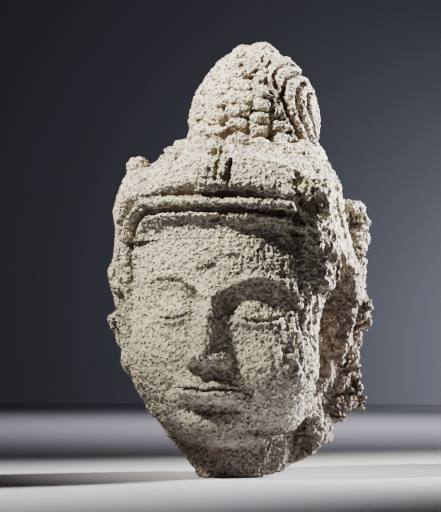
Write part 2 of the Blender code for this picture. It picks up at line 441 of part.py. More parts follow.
def stone(x, y, z):
    """The whole carved and broken stone."""
    c, s = np.float32(np.cos(np.radians(TILT_DEG))), np.float32(np.sin(np.radians(TILT_DEG)))
    X = x * c - (z - TILT_Z) * s
    Z = TILT_Z + (z - TILT_Z) * c + x * s
    th = polar(X, y)
    e = fillet(th, Z)
    d = smin(hair(X, y, Z, th, e), jewel(X, y, Z), 1.5) - jewel_relief(X, y, Z)
    d = smin(d, ellipsoid(X, y, Z, (-77.5, -26, 231), (9, 10, 8)), 4)
    d = smin(d, ellipsoid(X, y, Z, (-98.8, -6, 203), (3.2, 5, 3.4)), 1)          # stump of the ornament over the right temple
    # on the head's left the band and its ornament are sheared off, with hollows along the edge of the break
    cut = x - (72.5 + np.where(z < 224, 0.20, 0.45) * (224 - z) - 0.25 * np.maximum(y - 5, 0) * smooth(150, 185, z))
    d = smax(d, cut + (1.8 * noise(x, y, z * 0.45, 13, 3) + 1.0 * noise(x, y, z * 0.5, 5.5, 4)) * smooth(-30, 0, cut), 3)
    hollow = smin(ellipsoid(X, y, Z, (60, -70, 222), (7, 9, 8), (0, 0, 40)), ellipsoid(X, y, Z, (70, -57, 216), (6, 9, 10), (0, 0, 40)), 2)
    hollow = smin(hollow, ellipsoid(X, y, Z, (66, -60, 205), (6, 8, 7), (0, 0, 40)), 2)
    d = smax(d, -(hollow + 3.2 * noise(x, y, z * 0.7, 7.5, 5) + 2.0 * noise(x, y, z, 3.8, 6)), 1.5)
    end = smooth(20, 8, ellipsoid(X, y, Z, (66, -62, 214), (10, 14, 20), (0, 0, 40)))
    gouge = 5.5 * smooth(0.12, 0.55, noise(x + 0.4 * z, y, z * 0.55, 7, 31)) - 3.0 * smooth(0.15, 0.6, noise(x, y, z * 0.6, 6, 32))
    d = d + end * gouge * smooth(12, 3, np.abs(d))
    d = smin(d, torus(X, y, Z, (62.5, -64, 210.5), 3.4, 1.4, (0, 0, 42)), 0.8)
    d = smin(d, knot(X, y, Z), 4)
    d = smin(d, ring_of_curls(X, y, Z), 3)
    # neck, and the hair that hangs behind it
    neck = smax((np.sqrt(((X + 2) / NECK_HALF[0]) ** 2 + ((y - 8) / NECK_HALF[1]) ** 2) - 1) * 50, Z - 90, 10)
    tb = np.degrees(np.arctan2(X, y - 26))
    strand = np.abs(((tb / 9.0) % 1) - 0.5) * 2
    fall = 1.4 * smooth(0.70, 1.0, strand) * smooth(-5, 20, y)
    inward = (1 - 0.10 * smooth(130, 20, Z)) * (1 - 0.13 * smooth(0, 30, X))
    neck = smin(neck, smax((np.sqrt((X / (88 * inward)) ** 2 + ((y - 24) / (72 * inward)) ** 2) - 1) * 74 + fall, Z - 150, 20), 8)
    d = smin(d, neck, 8)
    d = smin(d, right_ear(X, y, Z), 4)
    d = smin(d, left_remains(x, y, z), 4)
    d = smin(d, face(X, y, Z), 3)
    recess = ellipsoid(x, y, z, (89, -20, 88), (36, 28, 70), (0, -3, 0)) + (2.4 * noise(x, y, z, 10, 12) + 1.4 * noise(x, y, z, 4.5, 13)) * smooth(-46, -34, y)
    d = smax(d, -recess, 5)
    # the neck's left flank is split away below the jaw, with an open gap before the hair behind it
    u = 0.966 * x + 0.2588 * y
    rough = 1.5 * noise(x, y, z, 9, 24) + 0.9 * noise(x, y, z, 4, 25)
    split = smax(smax(FLANK[2] - FLANK[0] * x - FLANK[1] * y, u - 50, 3) + rough, z - 37 + 0.10 * u, 4)
    d = smax(d, -split, 2)
    gap = capsule(x, y, z, (46, -10, 40), (46, -7, -6), 6.5) + rough
    d = smax(d, -gap, 2)
    # the neck is broken through: steeply on the head's right, at a low slope on its left, flat between
    chips = 3.0 * noise(x, y, z, 19, 21) + 1.6 * noise(x, y, z, 8, 22) + 0.8 * noise(x, y, z, 4.5, 23)
    d = smax(d, (-u - FOOT_LEFT - z / 1.3) * 0.79 + 0.6 * chips, 5)
    d = smax(d, (table(u, [(FOOT_RIGHT, 0), (28, 6), (40, 12), (50, 14.5), (58, 22), (68, 28), (80, 36)]) - z) * 0.9 + 0.7 * chips * smooth(FOOT_RIGHT - 8, FOOT_RIGHT + 12, u), 3)
    d = smax(d, smin(u - 67.5, 40.5 - z, 4) + 0.7 * chips, 4)
    d = smax(d, (0.5 * (y - 52) - z) * 0.894 + 0.8 * chips * smooth(42, 60, y), 4)
    return smax(d, -z, 0.8)


# ---------------------------------------------------------------- skin: the zero level of the distances as a mesh
CORNERS = [(a, b, c) for a in (0, 1) for b in (0, 1) for c in (0, 1)]
EDGES = [(p, q) for p in range(8) for q in range(p + 1, 8)
         if sum(abs(CORNERS[p][i] - CORNERS[q][i]) for i in range(3)) == 1]


def sample(field, lo, hi, spacing, levels=3):
    """The field on a regular grid, worked out finely only near its surface."""
    lo, hi = np.array(lo, float), np.array(hi, float)
    step = spacing * 2 ** levels
    count = np.ceil((hi - lo) / step).astype(int) + 1
    axes = [lo[i] + step * np.arange(count[i]) for i in range(3)]
    gx, gy, gz = (g.ravel().astype(np.float32) for g in np.meshgrid(*axes, indexing="ij"))
    D = field(gx, gy, gz).reshape(count).astype(np.float32)
    for level in range(levels):
        step /= 2
        nx, ny, nz = D.shape
        inside = D < 0
        cell = np.zeros((nx - 1, ny - 1, nz - 1), bool)
        for a, b, c in CORNERS:
            cell |= inside[a:nx - 1 + a, b:ny - 1 + b, c:nz - 1 + c] != inside[:-1, :-1, :-1]
        for axis in range(3):
            grown = cell.copy()
            before, after = [slice(None)] * 3, [slice(None)] * 3
            before[axis], after[axis] = slice(1, None), slice(None, -1)
            grown[tuple(before)] |= cell[tuple(after)]
            grown[tuple(after)] |= cell[tuple(before)]
            cell = grown
        fine = np.zeros([2 * n - 1 for n in D.shape], np.float32)
        fine[::2, ::2, ::2] = D
        fine[1::2, ::2, ::2] = (D[:-1] + D[1:]) / 2
        fine[:, 1::2, ::2] = (fine[:, :-2:2, ::2] + fine[:, 2::2, ::2]) / 2
        fine[:, :, 1::2] = (fine[:, :, :-2:2] + fine[:, :, 2::2]) / 2
        todo = np.zeros(fine.shape, bool)
        for a in (0, 1, 2):
            for b in (0, 1, 2):
                for c in (0, 1, 2):
                    todo[a:a + 2 * (nx - 1):2, b:b + 2 * (ny - 1):2, c:c + 2 * (nz - 1):2] |= cell
        if level == 0:
            todo |= np.abs(fine) < step * 3
        i, j, k = np.nonzero(todo)
        x, y, z = ((lo[n] + step * m).astype(np.float32) for n, m in enumerate((i, j, k)))
        found = np.empty(len(i), np.float32)
        for s in range(0, len(i), 400000):
            part = slice(s, s + 400000)
            found[part] = field(x[part], y[part], z[part])
        fine[i, j, k] = found
        D = fine
    return D, lo, step


def corner_codes(D):
    inside = (D < 0).astype(np.uint8)
    nx, ny, nz = D.shape
    code = np.zeros((nx - 1, ny - 1, nz - 1), np.uint8)
    for bit, (i, j, k) in enumerate(CORNERS):
        code |= inside[i:nx - 1 + i, j:ny - 1 + j, k:nz - 1 + k] << bit
    return code


def in_one_piece(group):
    seen, todo = set(), list(group[:1])
    while todo:
        p = todo.pop()
        if p not in seen:
            seen.add(p)
            todo += [b if a == p else a for a, b in EDGES if p in (a, b) and a in group and b in group]
    return len(seen) == len(group)


def chequered(c):
    """Whether a face of the cell has its inside corners only along one diagonal."""
    for axis in range(3):
        for side in (0, 1):
            a, b, d, e = ([c >> p & 1 for p in range(8) if CORNERS[p][axis] == side])
            if a == e and b == d and a != b:
                return True
    return False


SOUND = np.array([in_one_piece([p for p in range(8) if c >> p & 1]) and in_one_piece([p for p in range(8) if not c >> p & 1])
                  and not chequered(c) for c in range(256)])


def mended(D, spacing):
    """Fills or clears single grid points where two sheets of the surface would share one cell, so that the skin stays whole."""
    for turn in range(60):
        bad = np.nonzero(~SOUND[corner_codes(D)])
        if not len(bad[0]):
            break
        values = np.stack([D[bad[0] + i, bad[1] + j, bad[2] + k] for i, j, k in CORNERS])
        size = np.abs(values)
        if turn > 7:
            size = np.where(values < 0, 1e6, size)      # from here on only fill, which always ends
        off = np.array(CORNERS)[size.argmin(0)]
        i, j, k = bad[0] + off[:, 0], bad[1] + off[:, 1], bad[2] + off[:, 2]
        D[i, j, k] = np.where(D[i, j, k] < 0, 1, -1) * spacing * 0.05
    return D


def surface(D, lo, step):
    """One vertex in each cell that the surface crosses, one quad for each grid edge that it cuts, facing out."""
    code = corner_codes(D)
    crossed = (code != 0) & (code != 255)
    ci, cj, ck = np.nonzero(crossed)
    index = np.full(crossed.shape, -1, np.int32)
    index[ci, cj, ck] = np.arange(len(ci))
    values = [D[ci + i, cj + j, ck + k] for i, j, k in CORNERS]
    total, count = np.zeros((len(ci), 3)), np.zeros(len(ci))
    for p, q in EDGES:
        a, b = values[p], values[q]
        cut = (a < 0) != (b < 0)
        t = np.where(cut, a / np.where(cut, a - b, 1), 0)
        P, Q = np.array(CORNERS[p], float), np.array(CORNERS[q], float)
        total += np.where(cut[:, None], P + t[:, None] * (Q - P), 0)
        count += cut
    points = lo + (total / count[:, None] + np.stack([ci, cj, ck], 1)) * step
    inside = D < 0
    quads = []
    for axis in range(3):
        a1, a2 = (axis + 1) % 3, (axis + 2) % 3
        s0, s1 = [slice(1, -1)] * 3, [slice(1, -1)] * 3
        s0[axis], s1[axis] = slice(0, -1), slice(1, None)
        first, second = inside[tuple(s0)], inside[tuple(s1)]
        where = np.nonzero(first != second)
        solid_first = first[where]
        at = [w.copy() for w in where]
        at[a1], at[a2] = at[a1] + 1, at[a2] + 1
        ring = []
        for o1, o2 in ((1, 1), (0, 1), (0, 0), (1, 0)):
            cell = [w.copy() for w in at]
            cell[a1], cell[a2] = cell[a1] - o1, cell[a2] - o2
            ring.append(index[cell[0], cell[1], cell[2]])
        q = np.stack(ring, 1)
        quads.append(np.where(solid_first[:, None], q, q[:, ::-1]))
    return points, np.concatenate(quads)


def largest(points, quads):
    """The biggest connected skin, without loose crumbs."""
    label = np.arange(len(points))
    ends = np.concatenate([quads[:, [0, 1]], quads[:, [1, 2]], quads[:, [2, 3]], quads[:, [3, 0]]])
    while True:
        low = np.minimum(label[ends[:, 0]], label[ends[:, 1]])
        new = label.copy()
        np.minimum.at(new, ends[:, 0], low)
        np.minimum.at(new, ends[:, 1], low)
        new = new[new]
        if (new == label).all():
            break
        label = new
    names, counts = np.unique(label, return_counts=True)
    keep = label == names[counts.argmax()]
    order = np.cumsum(keep) - 1
    return points[keep], order[quads[keep[quads[:, 0]]]]


def carved(spacing):
    """Points in millimetres and quads of the stone's skin, on a grid of this spacing."""
    D, lo, step = sample(stone, (-125, -135, -4), (125, 135, 350), spacing)
    return largest(*surface(mended(D, step), lo, step))


# ---------------------------------------------------------------- Blender objects
def volcanic_stone():
    material = bpy.data.materials.new("volcanic_stone")
    material.use_nodes = True
    shader = material.node_tree.nodes["Principled BSDF"]
    shader.inputs["Base Color"].default_value = (0.40, 0.36, 0.29, 1.0)
    shader.inputs["Roughness"].default_value = 0.92
    shader.inputs["Metallic"].default_value = 0.0
    return material


def build():
    for old in list(bpy.data.objects):
        bpy.data.objects.remove(old, do_unlink=True)

    points, quads = carved(GRID)
    mesh = bpy.data.meshes.new("stone_head")
    mesh.from_pydata((points / 1000.0).tolist(), [], quads.tolist())
    mesh.update()
    head = bpy.data.objects.new("stone_head", mesh)
    bpy.context.scene.collection.objects.link(head)

    # reduce to the wanted number of facets, then put the foot back exactly on its plane
    reduce = head.modifiers.new("reduce", "DECIMATE")
    reduce.ratio = FACETS / (2.0 * len(quads))
    reduce.use_collapse_triangulate = True
    graph = bpy.context.evaluated_depsgraph_get()
    reduced = bpy.data.meshes.new_from_object(head.evaluated_get(graph))
    head.modifiers.clear()
    head.data = reduced
    reduced.name = "stone_head"
    for vertex in reduced.vertices:
        if vertex.co.z < 0.0007:
            vertex.co.z = 0.0
    reduced.update()
    reduced.materials.clear()
    reduced.materials.append(volcanic_stone())
    reduced.shade_smooth()


build()
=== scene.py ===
"""Looks of the bodhisattva head: the carved form at full fineness, the grain of the volcanic stone, light, floor and camera."""

import math

import bmesh
import bpy
import numpy as np
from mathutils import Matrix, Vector


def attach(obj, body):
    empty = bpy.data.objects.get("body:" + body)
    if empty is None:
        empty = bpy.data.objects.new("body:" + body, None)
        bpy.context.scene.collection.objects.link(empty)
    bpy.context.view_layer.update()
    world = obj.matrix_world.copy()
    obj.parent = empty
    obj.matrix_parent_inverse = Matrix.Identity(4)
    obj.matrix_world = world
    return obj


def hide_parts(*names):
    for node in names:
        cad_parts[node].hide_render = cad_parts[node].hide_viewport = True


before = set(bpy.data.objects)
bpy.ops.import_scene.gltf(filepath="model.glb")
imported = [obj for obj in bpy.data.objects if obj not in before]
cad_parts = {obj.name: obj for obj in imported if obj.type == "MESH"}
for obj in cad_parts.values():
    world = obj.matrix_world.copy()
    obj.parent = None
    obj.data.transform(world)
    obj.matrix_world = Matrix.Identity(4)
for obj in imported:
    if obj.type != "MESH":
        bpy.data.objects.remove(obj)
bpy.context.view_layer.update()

GRID = 0.92              # mm between the points where the form is worked out

# ---------------------------------------------------------------- sizes, in millimetres
# The head stands upright on the broken end of its neck: front towards -y, its own left towards +x, up +z.
TILT_DEG, TILT_Z = 2.0, 163.0              # it leans a little to its own left
SKULL_HALF = (94.0, 97.0)                  # half width and half depth over the hair
SKULL_Y, SKULL_Z = 6.0, 175.0              # centre of the widest level
SKULL_UP, SKULL_DOWN = 85.0, 125.0
FILLET_TOP, FILLET_FOOT, FILLET_DEG = 201.5, 130.0, 60.0   # the thin fillet that frames the face
ARCH = 4.4                                 # squareness of that arch
BAND_LOW, BAND_DROP, BAND_TOP = 210.5, 10.5, 236.0         # the broad plain band above it
BAND_OUT = 6.7
JEWEL_HALF = 11.0                          # half width of the upright jewel at the band's middle
KNOT_Y, KNOT_FOOT = 20.0, 243.0            # axis and foot of the tall knot of hair
KNOT_CURL = 10.4                           # height of one curl in its plaits
LOCK_PITCH = 11.3                          # from groove to groove in its side locks
NECK_HALF = (50.0, 54.0)
FLANK = (0.906, -0.423, 44.5)              # the split left side of the neck: a plane's direction and distance
FOOT_LEFT, FOOT_RIGHT = 31.5, 4.5         # the flat part of the break, to either side of the axis


# ---------------------------------------------------------------- curves and noise
def table(v, pairs, n=600):
    """A smooth curve through (input, value) pairs, flat beyond its ends."""
    xs = np.array([p[0] for p in pairs], float)
    ys = np.array([p[1] for p in pairs], float)
    h = np.diff(xs)
    s = np.diff(ys) / h
    m = np.zeros(len(xs))
    both = s[:-1] + s[1:]
    m[1:-1] = np.where(s[:-1] * s[1:] > 0, 2 * s[:-1] * s[1:] / np.where(both == 0, 1, both), 0)
    m[0], m[-1] = s[0], s[-1]
    g = np.linspace(xs[0], xs[-1], n)
    i = np.clip(np.searchsorted(xs, g) - 1, 0, len(h) - 1)
    t = (g - xs[i]) / h[i]
    y = ((2 * t ** 3 - 3 * t ** 2 + 1) * ys[i] + (t ** 3 - 2 * t ** 2 + t) * h[i] * m[i]
         + (-2 * t ** 3 + 3 * t ** 2) * ys[i + 1] + (t ** 3 - t ** 2) * h[i] * m[i + 1])
    return np.interp(v, g, y).astype(np.float32)


def smooth(e0, e1, x):
    t = np.clip((x - e0) / (e1 - e0), 0, 1)
    return t * t * (3 - 2 * t)


def lattice(ix, iy, iz, seed):
    h = (ix.astype(np.uint32) * np.uint32(374761393) + iy.astype(np.uint32) * np.uint32(668265263)
         + iz.astype(np.uint32) * np.uint32(2128337174) + np.uint32(seed * 974711 & 0xFFFFFFFF))
    h ^= h >> np.uint32(13)
    h *= np.uint32(1274126177)
    h ^= h >> np.uint32(16)
    h *= np.uint32(2246822519)
    h ^= h >> np.uint32(15)
    return h


def unit(h):
    return (h & np.uint32(0xFFFFFF)).astype(np.float32) / np.float32(0xFFFFFF)


def noise(x, y, z, wave, seed=0):
    """Smooth noise from -1 to 1, with bumps about as wide as wave."""
    f = np.float32(1.0 / wave)
    X = x * f + np.float32(seed * 17.31 + 0.37)
    Y = y * f - np.float32(seed * 9.13 - 0.71)
    Z = z * f + np.float32(seed * 5.77 + 0.19)
    ix, iy, iz = np.floor(X), np.floor(Y), np.floor(Z)
    fx, fy, fz = X - ix, Y - iy, Z - iz
    ix, iy, iz = ix.astype(np.int32), iy.astype(np.int32), iz.astype(np.int32)
    ux = fx * fx * fx * (fx * (fx * 6 - 15) + 10)
    uy = fy * fy * fy * (fy * (fy * 6 - 15) + 10)
    uz = fz * fz * fz * (fz * (fz * 6 - 15) + 10)
    out = np.zeros(x.shape, np.float32)
    for dx in (0, 1):
        wx = ux if dx else 1 - ux
        for dy in (0, 1):
            wxy = wx * (uy if dy else 1 - uy)
            for dz in (0, 1):
                w = wxy * (uz if dz else 1 - uz)
                out += w * unit(lattice(ix + dx, iy + dy, iz + dz, seed))
    return out * 2 - 1


def lumps(x, y, z, wave, seed=0):
    """Rounded lumps with creases between them: 1 on a lump's top, down to 0 in the creases."""
    f = np.float32(1.0 / wave)
    X, Y, Z = x * f, y * f, z * f
    ix, iy, iz = (np.floor(v).astype(np.int32) for v in (X, Y, Z))
    first, second = np.full(x.shape, 9, np.float32), np.full(x.shape, 9, np.float32)
    for dx in (-1, 0, 1):
        for dy in (-1, 0, 1):
            for dz in (-1, 0, 1):
                cx, cy, cz = ix + dx, iy + dy, iz + dz
                d = ((cx + 0.15 + 0.7 * unit(lattice(cx, cy, cz, seed)) - X) ** 2 + (cy + 0.15 + 0.7 * unit(lattice(cx, cy, cz, seed + 1)) - Y) ** 2
                     + (cz + 0.15 + 0.7 * unit(lattice(cx, cy, cz, seed + 2)) - Z) ** 2).astype(np.float32)
                second = np.minimum(second, np.maximum(first, d))
                first = np.minimum(first, d)
    edge = np.sqrt(second) - np.sqrt(first)
    return 1 - (1 - np.clip(edge / 0.42, 0, 1)) ** 2


# ---------------------------------------------------------------- shapes, as distances: negative inside
def smin(a, b, k):
    h = np.clip(0.5 + 0.5 * (b - a) / k, 0, 1)
    return b + (a - b) * h - k * h * (1 - h)


def smax(a, b, k):
    return -smin(-a, -b, k)


def turned(X, Y, Z, rot):
    """Coordinates in a frame turned by rot degrees about x, y and z."""
    a, b, c = (np.radians(v) for v in rot)
    if c:
        X, Y = np.cos(c) * X + np.sin(c) * Y, -np.sin(c) * X + np.cos(c) * Y
    if b:
        X, Z = np.cos(b) * X - np.sin(b) * Z, np.sin(b) * X + np.cos(b) * Z
    if a:
        Y, Z = np.cos(a) * Y + np.sin(a) * Z, -np.sin(a) * Y + np.cos(a) * Z
    return X, Y, Z


def ellipsoid(x, y, z, c, r, rot=None):
    X, Y, Z = x - c[0], y - c[1], z - c[2]
    if rot is not None:
        X, Y, Z = turned(X, Y, Z, rot)
    ax, ay, az = X / r[0], Y / r[1], Z / r[2]
    k0 = np.sqrt(ax * ax + ay * ay + az * az)
    bx, by, bz = ax / r[0], ay / r[1], az / r[2]
    return k0 * (k0 - 1) / np.maximum(np.sqrt(bx * bx + by * by + bz * bz), 1e-6)


def capsule(x, y, z, a, b, ra, rb=None):
    rb = ra if rb is None else rb
    a, b = np.array(a, float), np.array(b, float)
    ab = b - a
    t = np.clip(((x - a[0]) * ab[0] + (y - a[1]) * ab[1] + (z - a[2]) * ab[2]) / (ab @ ab), 0, 1)
    return np.sqrt((x - a[0] - t * ab[0]) ** 2 + (y - a[1] - t * ab[1]) ** 2 + (z - a[2] - t * ab[2]) ** 2) - (ra + (rb - ra) * t)


def slab(x, y, z, c, half, rot, edge):
    X, Y, Z = turned(x - c[0], y - c[1], z - c[2], rot)
    X, Y, Z = np.abs(X) - (half[0] - edge), np.abs(Y) - (half[1] - edge), np.abs(Z) - (half[2] - edge)
    out = np.sqrt(np.maximum(X, 0) ** 2 + np.maximum(Y, 0) ** 2 + np.maximum(Z, 0) ** 2)
    return out + np.minimum(np.maximum(np.maximum(X, Y), Z), 0) - edge


def along(p, q, path):
    """Distance in a plane from a line through the points of a path."""
    d = np.full(p.shape, 99.0)
    for (a, b), (c, e) in zip(path[:-1], path[1:]):
        t = np.clip(((p - a) * (c - a) + (q - b) * (e - b)) / ((c - a) ** 2 + (e - b) ** 2), 0, 1)
        d = np.minimum(d, np.hypot(p - a - t * (c - a), q - b - t * (e - b)))
    return d


def torus(x, y, z, c, major, minor, rot):
    X, Y, Z = turned(x - c[0], y - c[1], z - c[2], rot)
    q = np.sqrt(X * X + Z * Z) - major
    return np.sqrt(q * q + Y * Y) - minor


# ---------------------------------------------------------------- the head
def polar(x, y):
    """Angle round the skull in degrees, 0 in front, + towards the head's left."""
    return np.degrees(np.arctan2(x / SKULL_HALF[0], -(y - SKULL_Y) / SKULL_HALF[1]))


def skull(x, y, z):
    rho = np.sqrt((x / SKULL_HALF[0]) ** 2 + ((y - SKULL_Y) / SKULL_HALF[1]) ** 2)
    up = np.maximum(z - SKULL_Z, 0) / SKULL_UP
    down = np.maximum(SKULL_Z - z, 0) / SKULL_DOWN
    q = np.where(z > SKULL_Z, (rho ** 2.8 + up ** 2.8) ** (1 / 2.8), np.sqrt(rho ** 2 + down ** 2)) - 1
    return q * 88


def fillet(th, z):
    """Distance outside the fillet's crest, measured along the surface. The fillet is a round-shouldered arch."""
    H, S = FILLET_TOP - FILLET_FOOT, FILLET_DEG * 0.01745 * 95
    up = np.maximum(z - FILLET_FOOT, 0) / H
    side = np.abs(th) / FILLET_DEG
    q = np.maximum((side ** ARCH + up ** ARCH) ** (1 / ARCH), 0.02)
    g = np.sqrt(((up / q) ** (ARCH - 1) / H) ** 2 + ((side / q) ** (ARCH - 1) / S) ** 2)
    return (q - 1) / np.maximum(g, 0.004)


def face_relief(x, z):
    """How far the features stand forward of the plain face: calm, with lowered lids."""
    ax = np.abs(x)
    h = np.zeros_like(x)
    # sockets
    h -= 4.2 * np.exp(-(((ax - 31) / 21) ** 2 + ((z - 129) / 11) ** 2) ** 1.2)
    h -= 4.0 * np.exp(-(((ax - 14) / 6.5) ** 2 + ((z - 128) / 9) ** 2))
    # eyes: a full upper lid down to its edge, a narrow opening under it and a thin lower lid
    u, v = ax - 32, z - 122
    wide = np.maximum(0, 1 - (u / 20.0) ** 2)
    edge = -5.2 + 0.017 * u * u - 0.05 * u
    fold = 9.6 - 0.030 * u * u - 0.03 * u
    t = np.clip((v - edge) / np.maximum(fold - edge, 1), 0, 1)
    lid = 4.6 * wide ** 1.1 * (0.80 + 0.62 * t - 1.05 * t * t)
    under = 4.6 * wide ** 1.1 * 0.62 * np.exp(-(np.maximum(edge - v, 0) / 5.6) ** 2)
    above = 4.6 * wide ** 1.1 * 0.30 * np.exp(-(np.maximum(v - fold, 0) / 3.0) ** 2)
    h += np.where(v > fold, above, np.where(v > edge, lid, under))
    h -= 1.4 * np.exp(-((v - edge + 1.3) / 1.0) ** 2) * smooth(0.0, 0.3, wide)
    h += 1.2 * np.exp(-((v - edge + 4.0) / 1.5) ** 2) * smooth(0.0, 0.4, wide)
    h -= 1.1 * np.exp(-((v - fold) / 1.1) ** 2) * smooth(0.0, 0.3, wide)
    # brows
    zb = table(ax, [(0, 133), (8, 135.5), (16, 141), (28, 146.5), (38, 147.5), (50, 143.5), (60, 136)])
    hb = table(ax, [(0, 0.4), (8, 2.4), (30, 3.0), (50, 2.2), (61, 0)])
    dz = z - zb
    h += hb * np.where(dz > 0, np.exp(-(dz / 3.2) ** 2), np.exp(-(dz / 2.0) ** 2))
    # nose, wings and nostrils
    hn = table(z, [(75.5, 0), (79, 2.2), (82, 8), (85.5, 15.8), (90, 20), (95.5, 19.8), (104, 16.5), (114, 12.5), (126, 9), (134, 6.4), (141, 3), (150, 0)])
    wn = table(z, [(78, 11), (84, 15), (91, 15), (99, 13.0), (111, 11.2), (125, 10.4), (134, 11), (148, 13)])
    h += hn * (1 - smooth(0.02, 1.22, ax / wn)) ** 0.9
    h += 8.0 * np.maximum(0, 1 - ((ax - 11.8) / 7.4) ** 2 - ((z - 86.6) / 7.2) ** 2) ** 0.75 * smooth(2, 8, ax)
    h -= 1.2 * np.exp(-(((ax - 18.6) / 1.7) ** 2 + ((z - 88) / 7) ** 2))
    # upper lip furrow, mouth, hollow over the chin
    h -= 1.0 * np.exp(-(x / 3.0) ** 2) * smooth(70, 73, z) * smooth(81, 78, z)
    h += 0.6 * np.exp(-((ax - 5.2) / 2.0) ** 2) * smooth(70, 73, z) * smooth(81, 78, z)
    zp = 64.8 + 0.0016 * x * x - 1.1 * np.exp(-(x / 5.0) ** 2)
    hu = table(ax, [(0, 6.6), (3, 7.4), (6.5, 8.4), (12, 7.6), (18, 5.4), (24, 2.4), (29, 0.2)])
    hl = table(ax, [(0, 10.0), (8, 9.8), (14, 8.4), (21, 5.0), (25, 2.0), (29, 0.2)])
    bu = table(ax, [(0, 8.2), (6, 8.4), (15, 7.4), (23, 4.2), (29, 0)])
    bl = table(ax, [(0, 10.2), (7, 10.2), (15, 8.6), (23, 4.4), (29, 0)])
    tu = np.clip((z - zp) / np.maximum(hu, 1.5), 0, 1)
    tl = np.clip((zp - z) / np.maximum(hl, 1.5), 0, 1)
    h += np.where(z > zp, bu * (1 - tu ** 1.5) ** 0.6 * (0.72 + 0.42 * tu), bl * (1 - tl ** 2.2) ** 0.55)
    h -= 3.6 * np.exp(-((z - zp) / 1.5) ** 2) * smooth(29, 22, ax)
    h -= 2.8 * np.exp(-(((ax - 29) / 4.0) ** 2 + ((z - 65.0) / 4.6) ** 2))
    h -= 7.4 * np.exp(-((z - 51.0) / 5.2) ** 2) * np.exp(-(np.abs(x) / 23) ** 3)
    h -= 2.6 * np.exp(-(((ax - 6.8) / 2.8) ** 2 + ((z - 81.5) / 2.0) ** 2))
    fold = np.abs((ax - 20) * 0.88 - (84 - z) * 0.47)
    h -= 0.7 * np.exp(-(fold / 3.2) ** 2) * smooth(60, 68, z) * smooth(88, 82, z) * smooth(14, 20, ax)
    return h.astype(np.float32)


def face(x, y, z):
    ax = np.abs(x)
    Y = y + face_relief(x, z) * smooth(-20, -52, y)
    d = ellipsoid(x, Y, z, (0, 0, 150), (82, 89, 86))
    d = smin(d, ellipsoid(x, Y, z, (0, -16, 103), (77, 72, 84)), 16)
    d = smin(d, ellipsoid(x, Y, z, (0, -44, 60), (54, 44, 36)), 16)
    d = smin(d, ellipsoid(ax, Y, z, (37, -50, 86), (32, 34, 34)), 14)
    d = smin(d, ellipsoid(x, Y, z, (0, -64, 68), (32, 28, 25)), 12)
    return smin(d, ellipsoid(x, Y, z, (0, -71, 40), (20, 18.5, 14)), 14)


def hair(x, y, z, th, e):
    """The skull with its hair edge, fillet, side locks, sloping band and combed crown."""
    ath = np.abs(th)
    h = table(e, [(-34, -12), (-18, -7), (-13.5, -4.2), (-12, -3.2), (-9.5, -2.0), (-8.2, -2.0), (-6.6, -4.0), (-5, -3.8), (-3.6, -0.2),
                  (-1.6, 2.8), (0.6, 3.6), (2.6, 2.8), (4.2, 0.1), (5.6, -1.4), (7.0, -1.0), (9.0, -0.4), (11.5, 0)])
    h += 1.1 * np.exp(-((e + 10.0) / 2.2) ** 2) * smooth(46, 30, ath)
    h -= smooth(-38, -52, th) * (4.6 * np.exp(-((e + 6.4) / 2.9) ** 2) + 7.0 * np.exp(-((e - 7.2) / 3.2) ** 2))
    worn = smooth(31, 44, th) * smooth(-16, -9, e)                            # the fillet is worn away on the head's left
    h = h * (1 - 0.85 * worn) - 1.2 * worn
    h += 4.0 * smooth(8.5, 11.5, e) * smooth(58, 64, ath) * smooth(118, 104, ath) * smooth(120, 150, z)
    h += (0.9 + 2.6 * smooth(182, 198, z)) * smooth(9.5, 12.5, e) * smooth(-30, -55, th) * smooth(-118, -100, th) * smooth(130, 150, z)
    low = BAND_LOW - BAND_DROP * smooth(10, 50, ath)
    top = table(th, [(-60, -8.5), (-44, -8), (-30, -5), (-12, -1), (0, 0), (19, 0), (28, -1.5), (34, -4), (41, -9.5), (48, -13), (62, -13), (80, -8.5)]) + BAND_TOP
    band = smooth(-4.5, 6.5, z - low) ** 0.8 * smooth(1.6, -1.6, z - top)
    amount = (BAND_OUT - 1.5 * (z - low) / 25) * (0.45 + 0.55 * smooth(120, 108, ath))
    h = h * (1 - band) + band * amount
    above = smooth(-1.6, 1.6, z - top)
    comb = np.sin(np.radians(th) * 40 + 1.2 * np.sin(np.radians(th) * 7))
    h = h * (1 - above) + above * (0.9 * comb - 8.0 * smooth(0, 5, z - top))
    behind = smooth(100, 116, ath) * smooth(1, -3, z - low)
    strand = np.abs(((th / 6.4) % 1) - 0.5) * 2
    h = h * (1 - behind) + behind * (0.5 - 1.6 * smooth(0.72, 1.0, strand))
    return skull(x, y, z) - h


